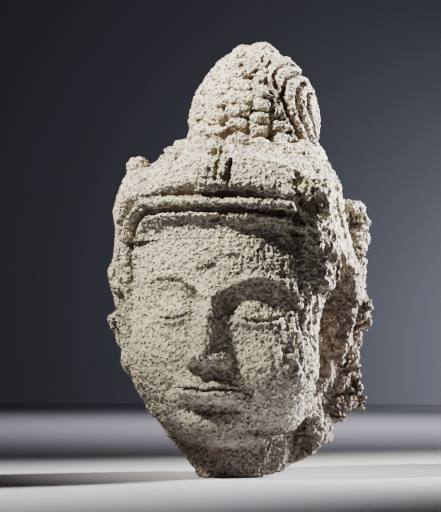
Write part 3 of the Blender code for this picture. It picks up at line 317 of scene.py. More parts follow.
def jewel_relief(x, y, z):
    """The small upright jewel: sunk sides, square block, bar, moulding and scalloped foot."""
    box = smooth(0.9, -0.9, np.abs(x + 0.6) - JEWEL_HALF)
    h = 1.2 * box * smooth(207.5, 210, z) * smooth(243, 240, z)
    h -= 3.4 * np.exp(-((np.abs(x + 0.7) - JEWEL_HALF) / 0.95) ** 2) * smooth(211, 214, z) * smooth(247, 240, z)
    h -= 3.4 * np.exp(-((x - 2.0) / 1.2) ** 2) * smooth(215, 218, z) * smooth(244, 240, z)
    h += 1.9 * smooth(0.8, -0.8, np.abs(x + 4.6) - 4.6) * smooth(0.8, -0.8, np.abs(z - 225.5) - 6.5)
    h -= 2.6 * np.exp(-(((x + 2.6) / 1.8) ** 2 + ((z - 223.0) / 2.2) ** 2))
    h += 2.0 * smooth(0.9, -0.9, np.abs(x - 6.2) - 2.5) * smooth(215, 217, z) * smooth(243, 240, z)
    h -= 3.6 * np.exp(-(((x + 2.5) / 4.0) ** 2 + ((z - 238.0) / 3.0) ** 2))
    scallop = 205.4 + 2.8 * np.abs(np.sin(x * np.pi / JEWEL_HALF + 0.5))
    h += 1.8 * box * smooth(-1.0, 1.4, z - scallop) * smooth(217.5, 215, z)
    return h * smooth(-50, -60, y)


def chance(n, m, seed):
    """A fixed random number from 0 to 1 for each pair of whole numbers."""
    n, m = np.broadcast_arrays(np.asarray(n), np.asarray(m))
    return unit(lattice(n.astype(np.int32), m.astype(np.int32), np.zeros(n.shape, np.int32), seed))


LEAF_LEVELS, LEAF_RADII = (236, 258, 276, 287, 296, 303, 309, 316, 322), (51, 49.4, 48.6, 46.2, 42.5, 38.5, 34.5, 28.5, 21.5)
LOCKS = (([(68, 249), (55.5, 260), (46, 272), (41.5, 286), (43.5, 296), (50, 302.5), (62, 306), (84, 308), (105, 308)], 6.6, 1.75),
         ([(80, 251), (68.5, 261), (60.5, 271), (56, 282), (58, 291), (66, 297.5), (80, 300)], 6.6, 1.7),
         ([(93, 253), (82.5, 262.5), (75.5, 272), (71, 282), (75, 290), (88, 294)], 6.6, 1.6),
         ([(100, 258), (93, 268), (90, 279), (94, 287)], 5.0, 1.4),
         ([(47, 280), (38.5, 287), (34.5, 295), (34, 303), (40, 309), (52, 312.5), (80, 314)], 4.2, 1.3),
         ([(37, 282), (29, 290), (25, 299), (25, 307), (32, 314)], 4.0, 1.3))


def knot(x, y, z):
    """The tall knot: plaits of round curls in front, nested hanging locks on each side, plain strands behind."""
    X, Y = x - (z - 250) * 0.02, y - KNOT_Y
    rho = np.sqrt(X * X + Y * Y)
    R = table(z, [(236, 51), (258, 49.4), (276, 48.6), (287, 46.2), (296, 42.5), (303, 38.5), (309, 34.5), (316, 28.5), (322, 21.5), (327, 14), (330.5, 5), (332, 0)])
    th = np.degrees(np.arctan2(X, -Y))
    r = np.maximum(R, 12)
    h = np.zeros_like(x)
    leaf = np.zeros_like(x)
    for side, fold, strength in ((1, 105, 1.0), (-1, 128, 0.8)):
        t = fold - np.abs(side * th + 360 * (side * th < -120) - fold) if side > 0 else fold - np.abs(-th - fold)
        t = t - (fold - 105)
        near = (t > 25) & (z > KNOT_FOOT - 4) & (z < 322) & (np.abs(rho - R) < 22)
        if not near.any():
            continue
        w = 0.01745 * r[near]
        p, q = t[near] * w, z[near]
        fit = 0.01745 * np.interp(q, LEAF_LEVELS, LEAF_RADII) / w     # the lines are drawn on the knot's own width
        cut = np.zeros(p.shape)
        for line, depth, width in LOCKS:
            cut += depth * np.exp(-(along(p * fit, q, [(a * 0.01745 * np.interp(b, LEAF_LEVELS, LEAF_RADII), b) for a, b in line]) / width) ** 2)
        edge = table(q, [(246, 63), (253, 58), (262, 48), (273, 38), (284, 29), (294, 23), (306, 21), (320, 24)])
        inside = smooth(edge - 1.5, edge + 2.5, t[near])
        h[near] += strength * (inside * (1.6 - np.minimum(cut, 7.0)) - (1 - inside) * np.minimum(cut, 3.0))
        leaf[near] = np.maximum(leaf[near], inside * (1 if side > 0 else 0.8))
    tw, zw = th + 2.8 * noise(x, y, z, 15, 31), z + 2.0 * noise(x, y, z, 13, 32)
    plaits = np.zeros_like(x)
    columns = np.zeros_like(x)
    for n, (a, b) in enumerate([(-84, -60), (-60, -36), (-36, -12.6), (-12.6, 11.3), (11.3, 30), (30, 50)]):
        mid, half = (a + b) / 2, (b - a) / 2
        du = (tw - mid) / half
        step = 0.5 * (n % 2) + 0.12 * np.sin(n * 2.4)
        row = np.floor((zw - KNOT_FOOT) / KNOT_CURL + step)
        dv = ((zw - KNOT_FOOT) / KNOT_CURL + step - row - 0.5) * 2
        big = chance(row + 40, row * 0 + n, 41)
        k = np.maximum(0, 1 - np.abs(du) ** 2.8 - np.abs(dv) ** 2.4)
        w = half * 0.01745 * r
        a1, b1 = du * w, dv * KNOT_CURL / 2
        curl = np.sqrt(a1 * a1 + b1 * b1)
        swirl = np.exp(-((curl - 3.6) / 1.2) ** 2) * (0.5 + 0.5 * np.cos(np.arctan2(b1, a1) + n * 2.1 + row * 1.7))
        # between the curls there are drilled pits, here and there
        corner = np.sqrt(((np.abs(a1) - w + 1.5) / 1.3) ** 2 + (np.abs(b1) - KNOT_CURL / 2) ** 2)
        drilled = (chance(np.floor(row + 40 + (dv > 0)), row * 0 + n + (du > 0), 42) > 0.6) * np.exp(-(corner / 2.6) ** 2)
        here = np.abs(du) < 1
        plaits = np.where(here, (2.2 + 2.4 * big) * k ** 0.6 - 1.2 - 0.9 * swirl * k - 4.4 * drilled, plaits)
        columns = np.where(here, 1, columns)
    eroded = 1 - 0.35 * smooth(-10, -45, th)
    h = h + columns * (1 - leaf) * plaits * smooth(328, 318, z) * eroded * (1 - 0.8 * smooth(26, 34, th) * smooth(284, 292, z))
    behind = smooth(118, 126, th - 40 * (th < 0) * 1.0) * smooth(250, 256, z) + smooth(-158, -164, th) * smooth(250, 256, z)
    strand = np.abs(((th / 14.0) % 1) - 0.5) * 2
    h += behind * (0.6 - 2.2 * smooth(0.66, 1.0, strand))
    d = (rho - R - h) * 0.82
    # the worn top: two low humps with a notch between them
    humps = smin(ellipsoid(X, Y, z, (3.6, -1, 319.5), (14.0, 15, 13.4)), ellipsoid(X, Y, z, (-10.0, -3, 318.5), (10.0, 12.5, 12.4)), 1.6)
    return smin(smax(d, z - 324, 5), humps, 4)


def ring_of_curls(x, y, z):
    """Curls laid about the foot of the knot, and two lower rows of them over the brow."""
    Y = y - KNOT_Y
    x, Y, z = x + 1.6 * noise(x, y, z, 12, 34), Y + 1.6 * noise(x, y, z, 12, 35), z + 1.4 * noise(x, y, z, 11, 36)
    th = np.degrees(np.arctan2(x, -Y))
    d = np.full_like(x, 60.0)
    for row, (radius, level, pitch, size, reach) in enumerate(((53.5, 245.5, 19.0, 8.2, 190), (63.5, 241.5, 15.0, 6.6, 66), (74.0, 237.0, 12.6, 5.8, 52))):
        k = np.round(th / pitch + 0.5 * (row % 2)) - 0.5 * (row % 2)
        c = np.radians(k * pitch)
        cr = radius + 1.5 * np.sin(k * 2.3 + row) - 5.5 * smooth(50, 75, k * pitch) * smooth(135, 110, k * pitch) - (4 if row == 1 else 0) * smooth(0, 20, k * pitch)
        cz = level + 1.1 * np.cos(k * 1.7 + row * 2)
        size = size * (0.86 + 0.28 * chance(np.round(2 * k) + 60, k * 0 + row, 43))
        dx, dy = x - cr * np.sin(c), Y + cr * np.cos(c)
        along = dx * np.cos(c) + dy * np.sin(c)
        out = dx * np.sin(c) - dy * np.cos(c)
        one = (np.sqrt((along / (1.12 * size)) ** 2 + (out / (1.15 * size)) ** 2 + ((z - cz) / size) ** 2) - 1) * size
        one = one + 1.2 * np.exp(-((np.sqrt(along ** 2 + (z - cz) ** 2) - 0.42 * size) / 1.2) ** 2)
        d = smin(d, np.where((np.abs(th) < reach) & ((row < 2) | (th < -5)), one, 40), 1.5)
    return d


def jewel(x, y, z):
    """The body of the jewel: a small upright slab that leans back and stands a little over the band."""
    return slab(x, y, z, (-0.6, -77.6, 227.5), (9.7, 6.8, 16.8), (-13, 0, 0), 1.8)


def right_ear(x, y, z):
    """The head's right ear: lump of the rim, pinched middle, open loop of the lobe and its worn foot."""
    d = ellipsoid(x, y, z, (-86, 4, 120), (9, 17, 40))
    d = smin(d, ellipsoid(x, y, z, (-95.5, -4, 150), (10, 11, 12)), 4)
    d = smin(d, ellipsoid(x, y, z, (-94, -12, 140), (6, 7, 6)), 3)
    d = smin(d, ellipsoid(x, y, z, (-98, -8, 157), (4.5, 6, 5)), 2)
    d = smin(d, capsule(x, y, z, (-93, -2, 140), (-88, -6, 122), 4.2), 3)
    d = smin(d, ellipsoid(x, y, z, (-88, 6, 106), (14.5, 10, 16)), 3)
    d = smax(d, -ellipsoid(x, y, z, (-90.5, -10, 107), (6.5, 9, 9.5), (0, -10, -22)), 1.5)
    path = [(-80.5, -16, 110), (-87, -13, 117.2), (-94.5, -11, 119.2), (-99.2, -9, 115.4), (-98.0, -8, 109), (-91.8, -9, 99.5), (-85.5, -11, 88)]
    for p, q in zip(path[:-1], path[1:]):
        d = smin(d, capsule(x, y, z, p, q, 3.3), 1.2)
    return smin(d, ellipsoid(x, y, z, (-84, -10, 84), (6, 8, 11)), 4)


def left_remains(x, y, z):
    """The head's left: what is left of the ear and of the hair behind it, broken all over."""
    d = ellipsoid(x, y, z, (60, 42, 120), (20, 34, 92))
    for c, r in (((77.5, 37, 190), (9.5, 13, 12)), ((75, 38, 178), (11, 16, 12)), ((72.5, 38, 160), (10, 18, 16)),
                 ((83, 30, 125), (9, 13, 11)), ((72.5, 34, 142), (11, 18, 14)), ((66, 36, 102), (10, 18, 14)),
                 ((70, 34, 78), (12, 17, 15)), ((70, 34, 58), (12.5, 18, 14)), ((54, 38, 50), (18, 26, 24))):
        d = smin(d, ellipsoid(x, y, z, c, r), 5)
    ear = ellipsoid(x, y, z, (72, 16, 128), (9, 13, 36))
    ear = smin(ear, ellipsoid(x, y, z, (77, 9, 152), (8, 10, 9)), 4)
    ear = smin(ear, ellipsoid(x, y, z, (75, 12, 100), (8, 10, 12)), 4)
    ear = smax(ear, -ellipsoid(x, y, z, (84, 2, 131), (7, 9, 14)), 3)
    d = smin(d, ear, 5)
    here = (d < 26) & (x > 30)
    if here.any():
        p, q, r = x[here], y[here], z[here]
        p1, r1 = p + 3.0 * noise(p, q, r, 13, 14), r + 3.0 * noise(p, q, r, 13, 15)
        rough = 7.5 * lumps(p1, q, r1, 15.5, 7) + 2.2 * lumps(p1, q, r1, 7.0, 17) - 6.8
        rough += 2.4 * noise(p, q, r, 17, 8) + 1.3 * noise(p, q, r, 5.5, 9)
        rough -= 7.0 * smooth(0.34, 0.66, noise(p, q, r * 0.8, 12, 10)) * smooth(198, 188, r)
        d = d.copy()
        d[here] = d[here] - rough * smooth(26, 4, d[here])
    return smin(d, slab(x, y, z, (73.5, 36, 200.5), (9.6, 13, 8.6), (0, 10, -14), 3.6) + 0.8 * noise(x, y, z, 7, 18), 2)


def stone(x, y, z):
    """The whole carved and broken stone."""
    c, s = np.float32(np.cos(np.radians(TILT_DEG))), np.float32(np.sin(np.radians(TILT_DEG)))
    X = x * c - (z - TILT_Z) * s
    Z = TILT_Z + (z - TILT_Z) * c + x * s
    th = polar(X, y)
    e = fillet(th, Z)
    d = smin(hair(X, y, Z, th, e), jewel(X, y, Z), 1.5) - jewel_relief(X, y, Z)
    d = smin(d, ellipsoid(X, y, Z, (-77.5, -26, 231), (9, 10, 8)), 4)
    d = smin(d, ellipsoid(X, y, Z, (-98.8, -6, 203), (3.2, 5, 3.4)), 1)          # stump of the ornament over the right temple
    # on the head's left the band and its ornament are sheared off, with hollows along the edge of the break
    cut = x - (72.5 + np.where(z < 224, 0.20, 0.45) * (224 - z) - 0.25 * np.maximum(y - 5, 0) * smooth(150, 185, z))
    d = smax(d, cut + (1.8 * noise(x, y, z * 0.45, 13, 3) + 1.0 * noise(x, y, z * 0.5, 5.5, 4)) * smooth(-30, 0, cut), 3)
    hollow = smin(ellipsoid(X, y, Z, (60, -70, 222), (7, 9, 8), (0, 0, 40)), ellipsoid(X, y, Z, (70, -57, 216), (6, 9, 10), (0, 0, 40)), 2)
    hollow = smin(hollow, ellipsoid(X, y, Z, (66, -60, 205), (6, 8, 7), (0, 0, 40)), 2)
    d = smax(d, -(hollow + 3.2 * noise(x, y, z * 0.7, 7.5, 5) + 2.0 * noise(x, y, z, 3.8, 6)), 1.5)
    end = smooth(20, 8, ellipsoid(X, y, Z, (66, -62, 214), (10, 14, 20), (0, 0, 40)))
    gouge = 5.5 * smooth(0.12, 0.55, noise(x + 0.4 * z, y, z * 0.55, 7, 31)) - 3.0 * smooth(0.15, 0.6, noise(x, y, z * 0.6, 6, 32))
    d = d + end * gouge * smooth(12, 3, np.abs(d))
    d = smin(d, torus(X, y, Z, (62.5, -64, 210.5), 3.4, 1.4, (0, 0, 42)), 0.8)
    d = smin(d, knot(X, y, Z), 4)
    d = smin(d, ring_of_curls(X, y, Z), 3)
    # neck, and the hair that hangs behind it
    neck = smax((np.sqrt(((X + 2) / NECK_HALF[0]) ** 2 + ((y - 8) / NECK_HALF[1]) ** 2) - 1) * 50, Z - 90, 10)
    tb = np.degrees(np.arctan2(X, y - 26))
    strand = np.abs(((tb / 9.0) % 1) - 0.5) * 2
    fall = 1.4 * smooth(0.70, 1.0, strand) * smooth(-5, 20, y)
    inward = (1 - 0.10 * smooth(130, 20, Z)) * (1 - 0.13 * smooth(0, 30, X))
    neck = smin(neck, smax((np.sqrt((X / (88 * inward)) ** 2 + ((y - 24) / (72 * inward)) ** 2) - 1) * 74 + fall, Z - 150, 20), 8)
    d = smin(d, neck, 8)
    d = smin(d, right_ear(X, y, Z), 4)
    d = smin(d, left_remains(x, y, z), 4)
    d = smin(d, face(X, y, Z), 3)
    recess = ellipsoid(x, y, z, (89, -20, 88), (36, 28, 70), (0, -3, 0)) + (2.4 * noise(x, y, z, 10, 12) + 1.4 * noise(x, y, z, 4.5, 13)) * smooth(-46, -34, y)
    d = smax(d, -recess, 5)
    # the neck's left flank is split away below the jaw, with an open gap before the hair behind it
    u = 0.966 * x + 0.2588 * y
    rough = 1.5 * noise(x, y, z, 9, 24) + 0.9 * noise(x, y, z, 4, 25)
    split = smax(smax(FLANK[2] - FLANK[0] * x - FLANK[1] * y, u - 50, 3) + rough, z - 37 + 0.10 * u, 4)
    d = smax(d, -split, 2)
    gap = capsule(x, y, z, (46, -10, 40), (46, -7, -6), 6.5) + rough
    d = smax(d, -gap, 2)
    # the neck is broken through: steeply on the head's right, at a low slope on its left, flat between
    chips = 3.0 * noise(x, y, z, 19, 21) + 1.6 * noise(x, y, z, 8, 22) + 0.8 * noise(x, y, z, 4.5, 23)
    d = smax(d, (-u - FOOT_LEFT - z / 1.3) * 0.79 + 0.6 * chips, 5)
    d = smax(d, (table(u, [(FOOT_RIGHT, 0), (28, 6), (40, 12), (50, 14.5), (58, 22), (68, 28), (80, 36)]) - z) * 0.9 + 0.7 * chips * smooth(FOOT_RIGHT - 8, FOOT_RIGHT + 12, u), 3)
    d = smax(d, smin(u - 67.5, 40.5 - z, 4) + 0.7 * chips, 4)
    d = smax(d, (0.5 * (y - 52) - z) * 0.894 + 0.8 * chips * smooth(42, 60, y), 4)
    return smax(d, -z, 0.8)


# ---------------------------------------------------------------- skin: the zero level of the distances as a mesh
CORNERS = [(a, b, c) for a in (0, 1) for b in (0, 1) for c in (0, 1)]
EDGES = [(p, q) for p in range(8) for q in range(p + 1, 8)
         if sum(abs(CORNERS[p][i] - CORNERS[q][i]) for i in range(3)) == 1]


def sample(field, lo, hi, spacing, levels=3):
    """The field on a regular grid, worked out finely only near its surface."""
    lo, hi = np.array(lo, float), np.array(hi, float)
    step = spacing * 2 ** levels
    count = np.ceil((hi - lo) / step).astype(int) + 1
    axes = [lo[i] + step * np.arange(count[i]) for i in range(3)]
    gx, gy, gz = (g.ravel().astype(np.float32) for g in np.meshgrid(*axes, indexing="ij"))
    D = field(gx, gy, gz).reshape(count).astype(np.float32)
    for level in range(levels):
        step /= 2
        nx, ny, nz = D.shape
        inside = D < 0
        cell = np.zeros((nx - 1, ny - 1, nz - 1), bool)
        for a, b, c in CORNERS:
            cell |= inside[a:nx - 1 + a, b:ny - 1 + b, c:nz - 1 + c] != inside[:-1, :-1, :-1]
        for axis in range(3):
            grown = cell.copy()
            before, after = [slice(None)] * 3, [slice(None)] * 3
            before[axis], after[axis] = slice(1, None), slice(None, -1)
            grown[tuple(before)] |= cell[tuple(after)]
            grown[tuple(after)] |= cell[tuple(before)]
            cell = grown
        fine = np.zeros([2 * n - 1 for n in D.shape], np.float32)
        fine[::2, ::2, ::2] = D
        fine[1::2, ::2, ::2] = (D[:-1] + D[1:]) / 2
        fine[:, 1::2, ::2] = (fine[:, :-2:2, ::2] + fine[:, 2::2, ::2]) / 2
        fine[:, :, 1::2] = (fine[:, :, :-2:2] + fine[:, :, 2::2]) / 2
        todo = np.zeros(fine.shape, bool)
        for a in (0, 1, 2):
            for b in (0, 1, 2):
                for c in (0, 1, 2):
                    todo[a:a + 2 * (nx - 1):2, b:b + 2 * (ny - 1):2, c:c + 2 * (nz - 1):2] |= cell
        if level == 0:
            todo |= np.abs(fine) < step * 3
        i, j, k = np.nonzero(todo)
        x, y, z = ((lo[n] + step * m).astype(np.float32) for n, m in enumerate((i, j, k)))
        found = np.empty(len(i), np.float32)
        for s in range(0, len(i), 400000):
            part = slice(s, s + 400000)
            found[part] = field(x[part], y[part], z[part])
        fine[i, j, k] = found
        D = fine
    return D, lo, step


def corner_codes(D):
    inside = (D < 0).astype(np.uint8)
    nx, ny, nz = D.shape
    code = np.zeros((nx - 1, ny - 1, nz - 1), np.uint8)
    for bit, (i, j, k) in enumerate(CORNERS):
        code |= inside[i:nx - 1 + i, j:ny - 1 + j, k:nz - 1 + k] << bit
    return code


def in_one_piece(group):
    seen, todo = set(), list(group[:1])
    while todo:
        p = todo.pop()
        if p not in seen:
            seen.add(p)
            todo += [b if a == p else a for a, b in EDGES if p in (a, b) and a in group and b in group]
    return len(seen) == len(group)


def chequered(c):
    """Whether a face of the cell has its inside corners only along one diagonal."""
    for axis in range(3):
        for side in (0, 1):
            a, b, d, e = ([c >> p & 1 for p in range(8) if CORNERS[p][axis] == side])
            if a == e and b == d and a != b:
                return True
    return False


SOUND = np.array([in_one_piece([p for p in range(8) if c >> p & 1]) and in_one_piece([p for p in range(8) if not c >> p & 1])
                  and not chequered(c) for c in range(256)])


def mended(D, spacing):
    """Fills or clears single grid points where two sheets of the surface would share one cell, so that the skin stays whole."""
    for turn in range(60):
        bad = np.nonzero(~SOUND[corner_codes(D)])
        if not len(bad[0]):
            break
        values = np.stack([D[bad[0] + i, bad[1] + j, bad[2] + k] for i, j, k in CORNERS])
        size = np.abs(values)
        if turn > 7:
            size = np.where(values < 0, 1e6, size)      # from here on only fill, which always ends
        off = np.array(CORNERS)[size.argmin(0)]
        i, j, k = bad[0] + off[:, 0], bad[1] + off[:, 1], bad[2] + off[:, 2]
        D[i, j, k] = np.where(D[i, j, k] < 0, 1, -1) * spacing * 0.05
    return D


def surface(D, lo, step):
    """One vertex in each cell that the surface crosses, one quad for each grid edge that it cuts, facing out."""
    code = corner_codes(D)
    crossed = (code != 0) & (code != 255)
    ci, cj, ck = np.nonzero(crossed)
    index = np.full(crossed.shape, -1, np.int32)
    index[ci, cj, ck] = np.arange(len(ci))
    values = [D[ci + i, cj + j, ck + k] for i, j, k in CORNERS]
    total, count = np.zeros((len(ci), 3)), np.zeros(len(ci))
    for p, q in EDGES:
        a, b = values[p], values[q]
        cut = (a < 0) != (b < 0)
        t = np.where(cut, a / np.where(cut, a - b, 1), 0)
        P, Q = np.array(CORNERS[p], float), np.array(CORNERS[q], float)
        total += np.where(cut[:, None], P + t[:, None] * (Q - P), 0)
        count += cut
    points = lo + (total / count[:, None] + np.stack([ci, cj, ck], 1)) * step
    inside = D < 0
    quads = []
    for axis in range(3):
        a1, a2 = (axis + 1) % 3, (axis + 2) % 3
        s0, s1 = [slice(1, -1)] * 3, [slice(1, -1)] * 3
        s0[axis], s1[axis] = slice(0, -1), slice(1, None)
        first, second = inside[tuple(s0)], inside[tuple(s1)]
        where = np.nonzero(first != second)
        solid_first = first[where]
        at = [w.copy() for w in where]
        at[a1], at[a2] = at[a1] + 1, at[a2] + 1
        ring = []
        for o1, o2 in ((1, 1), (0, 1), (0, 0), (1, 0)):
            cell = [w.copy() for w in at]
            cell[a1], cell[a2] = cell[a1] - o1, cell[a2] - o2
            ring.append(index[cell[0], cell[1], cell[2]])
        q = np.stack(ring, 1)
        quads.append(np.where(solid_first[:, None], q, q[:, ::-1]))
    return points, np.concatenate(quads)


def largest(points, quads):
    """The biggest connected skin, without loose crumbs."""
    label = np.arange(len(points))
    ends = np.concatenate([quads[:, [0, 1]], quads[:, [1, 2]], quads[:, [2, 3]], quads[:, [3, 0]]])
    while True:
        low = np.minimum(label[ends[:, 0]], label[ends[:, 1]])
        new = label.copy()
        np.minimum.at(new, ends[:, 0], low)
        np.minimum.at(new, ends[:, 1], low)
        new = new[new]
        if (new == label).all():
            break
        label = new
    names, counts = np.unique(label, return_counts=True)
    keep = label == names[counts.argmax()]
    order = np.cumsum(keep) - 1
    return points[keep], order[quads[keep[quads[:, 0]]]]


def carved(spacing):
    """Points in millimetres and quads of the stone's skin, on a grid of this spacing."""
    D, lo, step = sample(stone, (-125, -135, -4), (125, 135, 350), spacing)
    return largest(*surface(mended(D, step), lo, step))


# ---------------------------------------------------------------- wear, grain, stain and painted shade, in millimetres
def in_runs(work, *arrays):
    """Applies work to long arrays in runs, to keep memory small."""
    n = len(arrays[0])
    return np.concatenate([work(*(a[i:i + 300000] for a in arrays)) for i in range(0, n, 300000)])


def outward(points, quads):
    """Unit normals at the points."""
    a, b, c, d = (points[quads[:, i]] for i in range(4))
    across = np.cross(c - a, d - b)
    total = np.zeros_like(points)
    for i in range(4):
        for axis in range(3):
            total[:, axis] += np.bincount(quads[:, i], across[:, axis], len(points))
    return total / np.maximum(np.linalg.norm(total, axis=1, keepdims=True), 1e-9)


def weathered(points, normals):
    """The carved skin with its grain, pits and wear, and the two masks that the stone's colour reads."""
    x, y, z = (points[:, i].astype(np.float32) for i in range(3))
    nx, ny, nz = (normals[:, i].astype(np.float32) for i in range(3))
    # how closed in a place is: the room that is left 4 and 13 mm out from the skin; the colour reads this to paint
    # shade into the hollows
    near = in_runs(lambda a, b, c, p, q, r: stone(a + 4 * p, b + 4 * q, c + 4 * r), x, y, z, nx, ny, nz) / 4
    far = in_runs(lambda a, b, c, p, q, r: stone(a + 13 * p, b + 13 * q, c + 13 * r), x, y, z, nx, ny, nz) / 13
    hollow = np.clip(1.05 - 0.5 * near - 0.5 * far, 0, 1)
    left = smooth(66, 76, x) * smooth(-62, -50, y) * smooth(232, 222, z)
    neck = np.maximum(smooth(16, 4, z), smooth(6, 0, (x * 0.966 + y * 0.2588 + FOOT_LEFT + z / 1.3)))
    broken = np.clip(left + neck, 0, 1)
    # the lower cheeks and the chin are worn smoother
    polished = smooth(78, 52, z) * smooth(14, 26, z) * smooth(-30, -50, y) * (0.45 + 0.4 * noise(x, y, z, 20, 61))
    rough = (1 - 0.55 * np.clip(polished, 0, 1)) * (1 + 0.5 * broken)
    features = smooth(-40, -66, y) * smooth(50, 58, z) * smooth(150, 140, z) * smooth(56, 44, np.abs(x))
    h = (0.55 * noise(x, y, z, 24, 51) + 0.42 * noise(x, y, z, 11, 52)) * (1 - 0.6 * features)
    h += rough * ((0.36 - 0.16 * features) * noise(x, y, z, 6.2, 53) + (0.46 - 0.16 * features) * noise(x, y, z, 3.4, 54) + 0.34 * noise(x, y, z, 2.2, 59))
    pits = smooth(0.30, 0.62, noise(x, y, z, 4.2, 55)) + 0.9 * smooth(0.30, 0.60, noise(x, y, z, 2.6, 56))
    h -= 0.62 * rough * pits * (1 - 0.4 * features)
    h += (0.95 - 0.25 * features) * (lumps(x, y, z, 3.3, 75) - 0.5)
    big = smooth(0.54, 0.74, noise(x, y, z, 9.5, 57))
    h -= 1.6 * rough * big * (1 - 0.7 * features)
    h += 1.1 * broken * noise(x, y, z, 7.5, 58)
    streaked = smooth(38, 52, x - 20 * smooth(190, 206, z)) * smooth(12, -4, y) * smooth(66, 90, z) * smooth(238, 226, z)
    h += streaked * (1.25 * noise(x, y, z * 0.30, 3.8, 71) + 0.6 * noise(x, y, z * 0.4, 2.2, 72))
    cave = smooth(48, 60, x) * smooth(-50, -40, y) * smooth(20, 6, y) * smooth(178, 162, z)
    h += cave * (2.4 * noise(x, y, z, 12, 73) + 1.5 * noise(x, y, z, 6, 74))
    h *= smooth(0.0, 1.2, z)                               # the flat of the foot stays flat
    moved = points + normals * h[:, None]
    moved[:, 2] = np.where(z < 0.6, points[:, 2], np.maximum(moved[:, 2], 0.0))
    # brown stain and painted shade: the deep side behind the cheek, and the neck towards its foot
    stain_and_shade = np.maximum(smooth(56, 63, x) * smooth(-47, -36, y) * smooth(172, 150, z), 0.8 * smooth(48, 32, z))
    stain_and_shade = np.clip(stain_and_shade * (0.95 + 0.5 * noise(x, y, z, 22, 62)), 0, 1)
    # the pits add a little to the hollow mask: painted shade in the pits
    return moved, np.clip(hollow + 0.10 * pits, 0, 1), broken, stain_and_shade


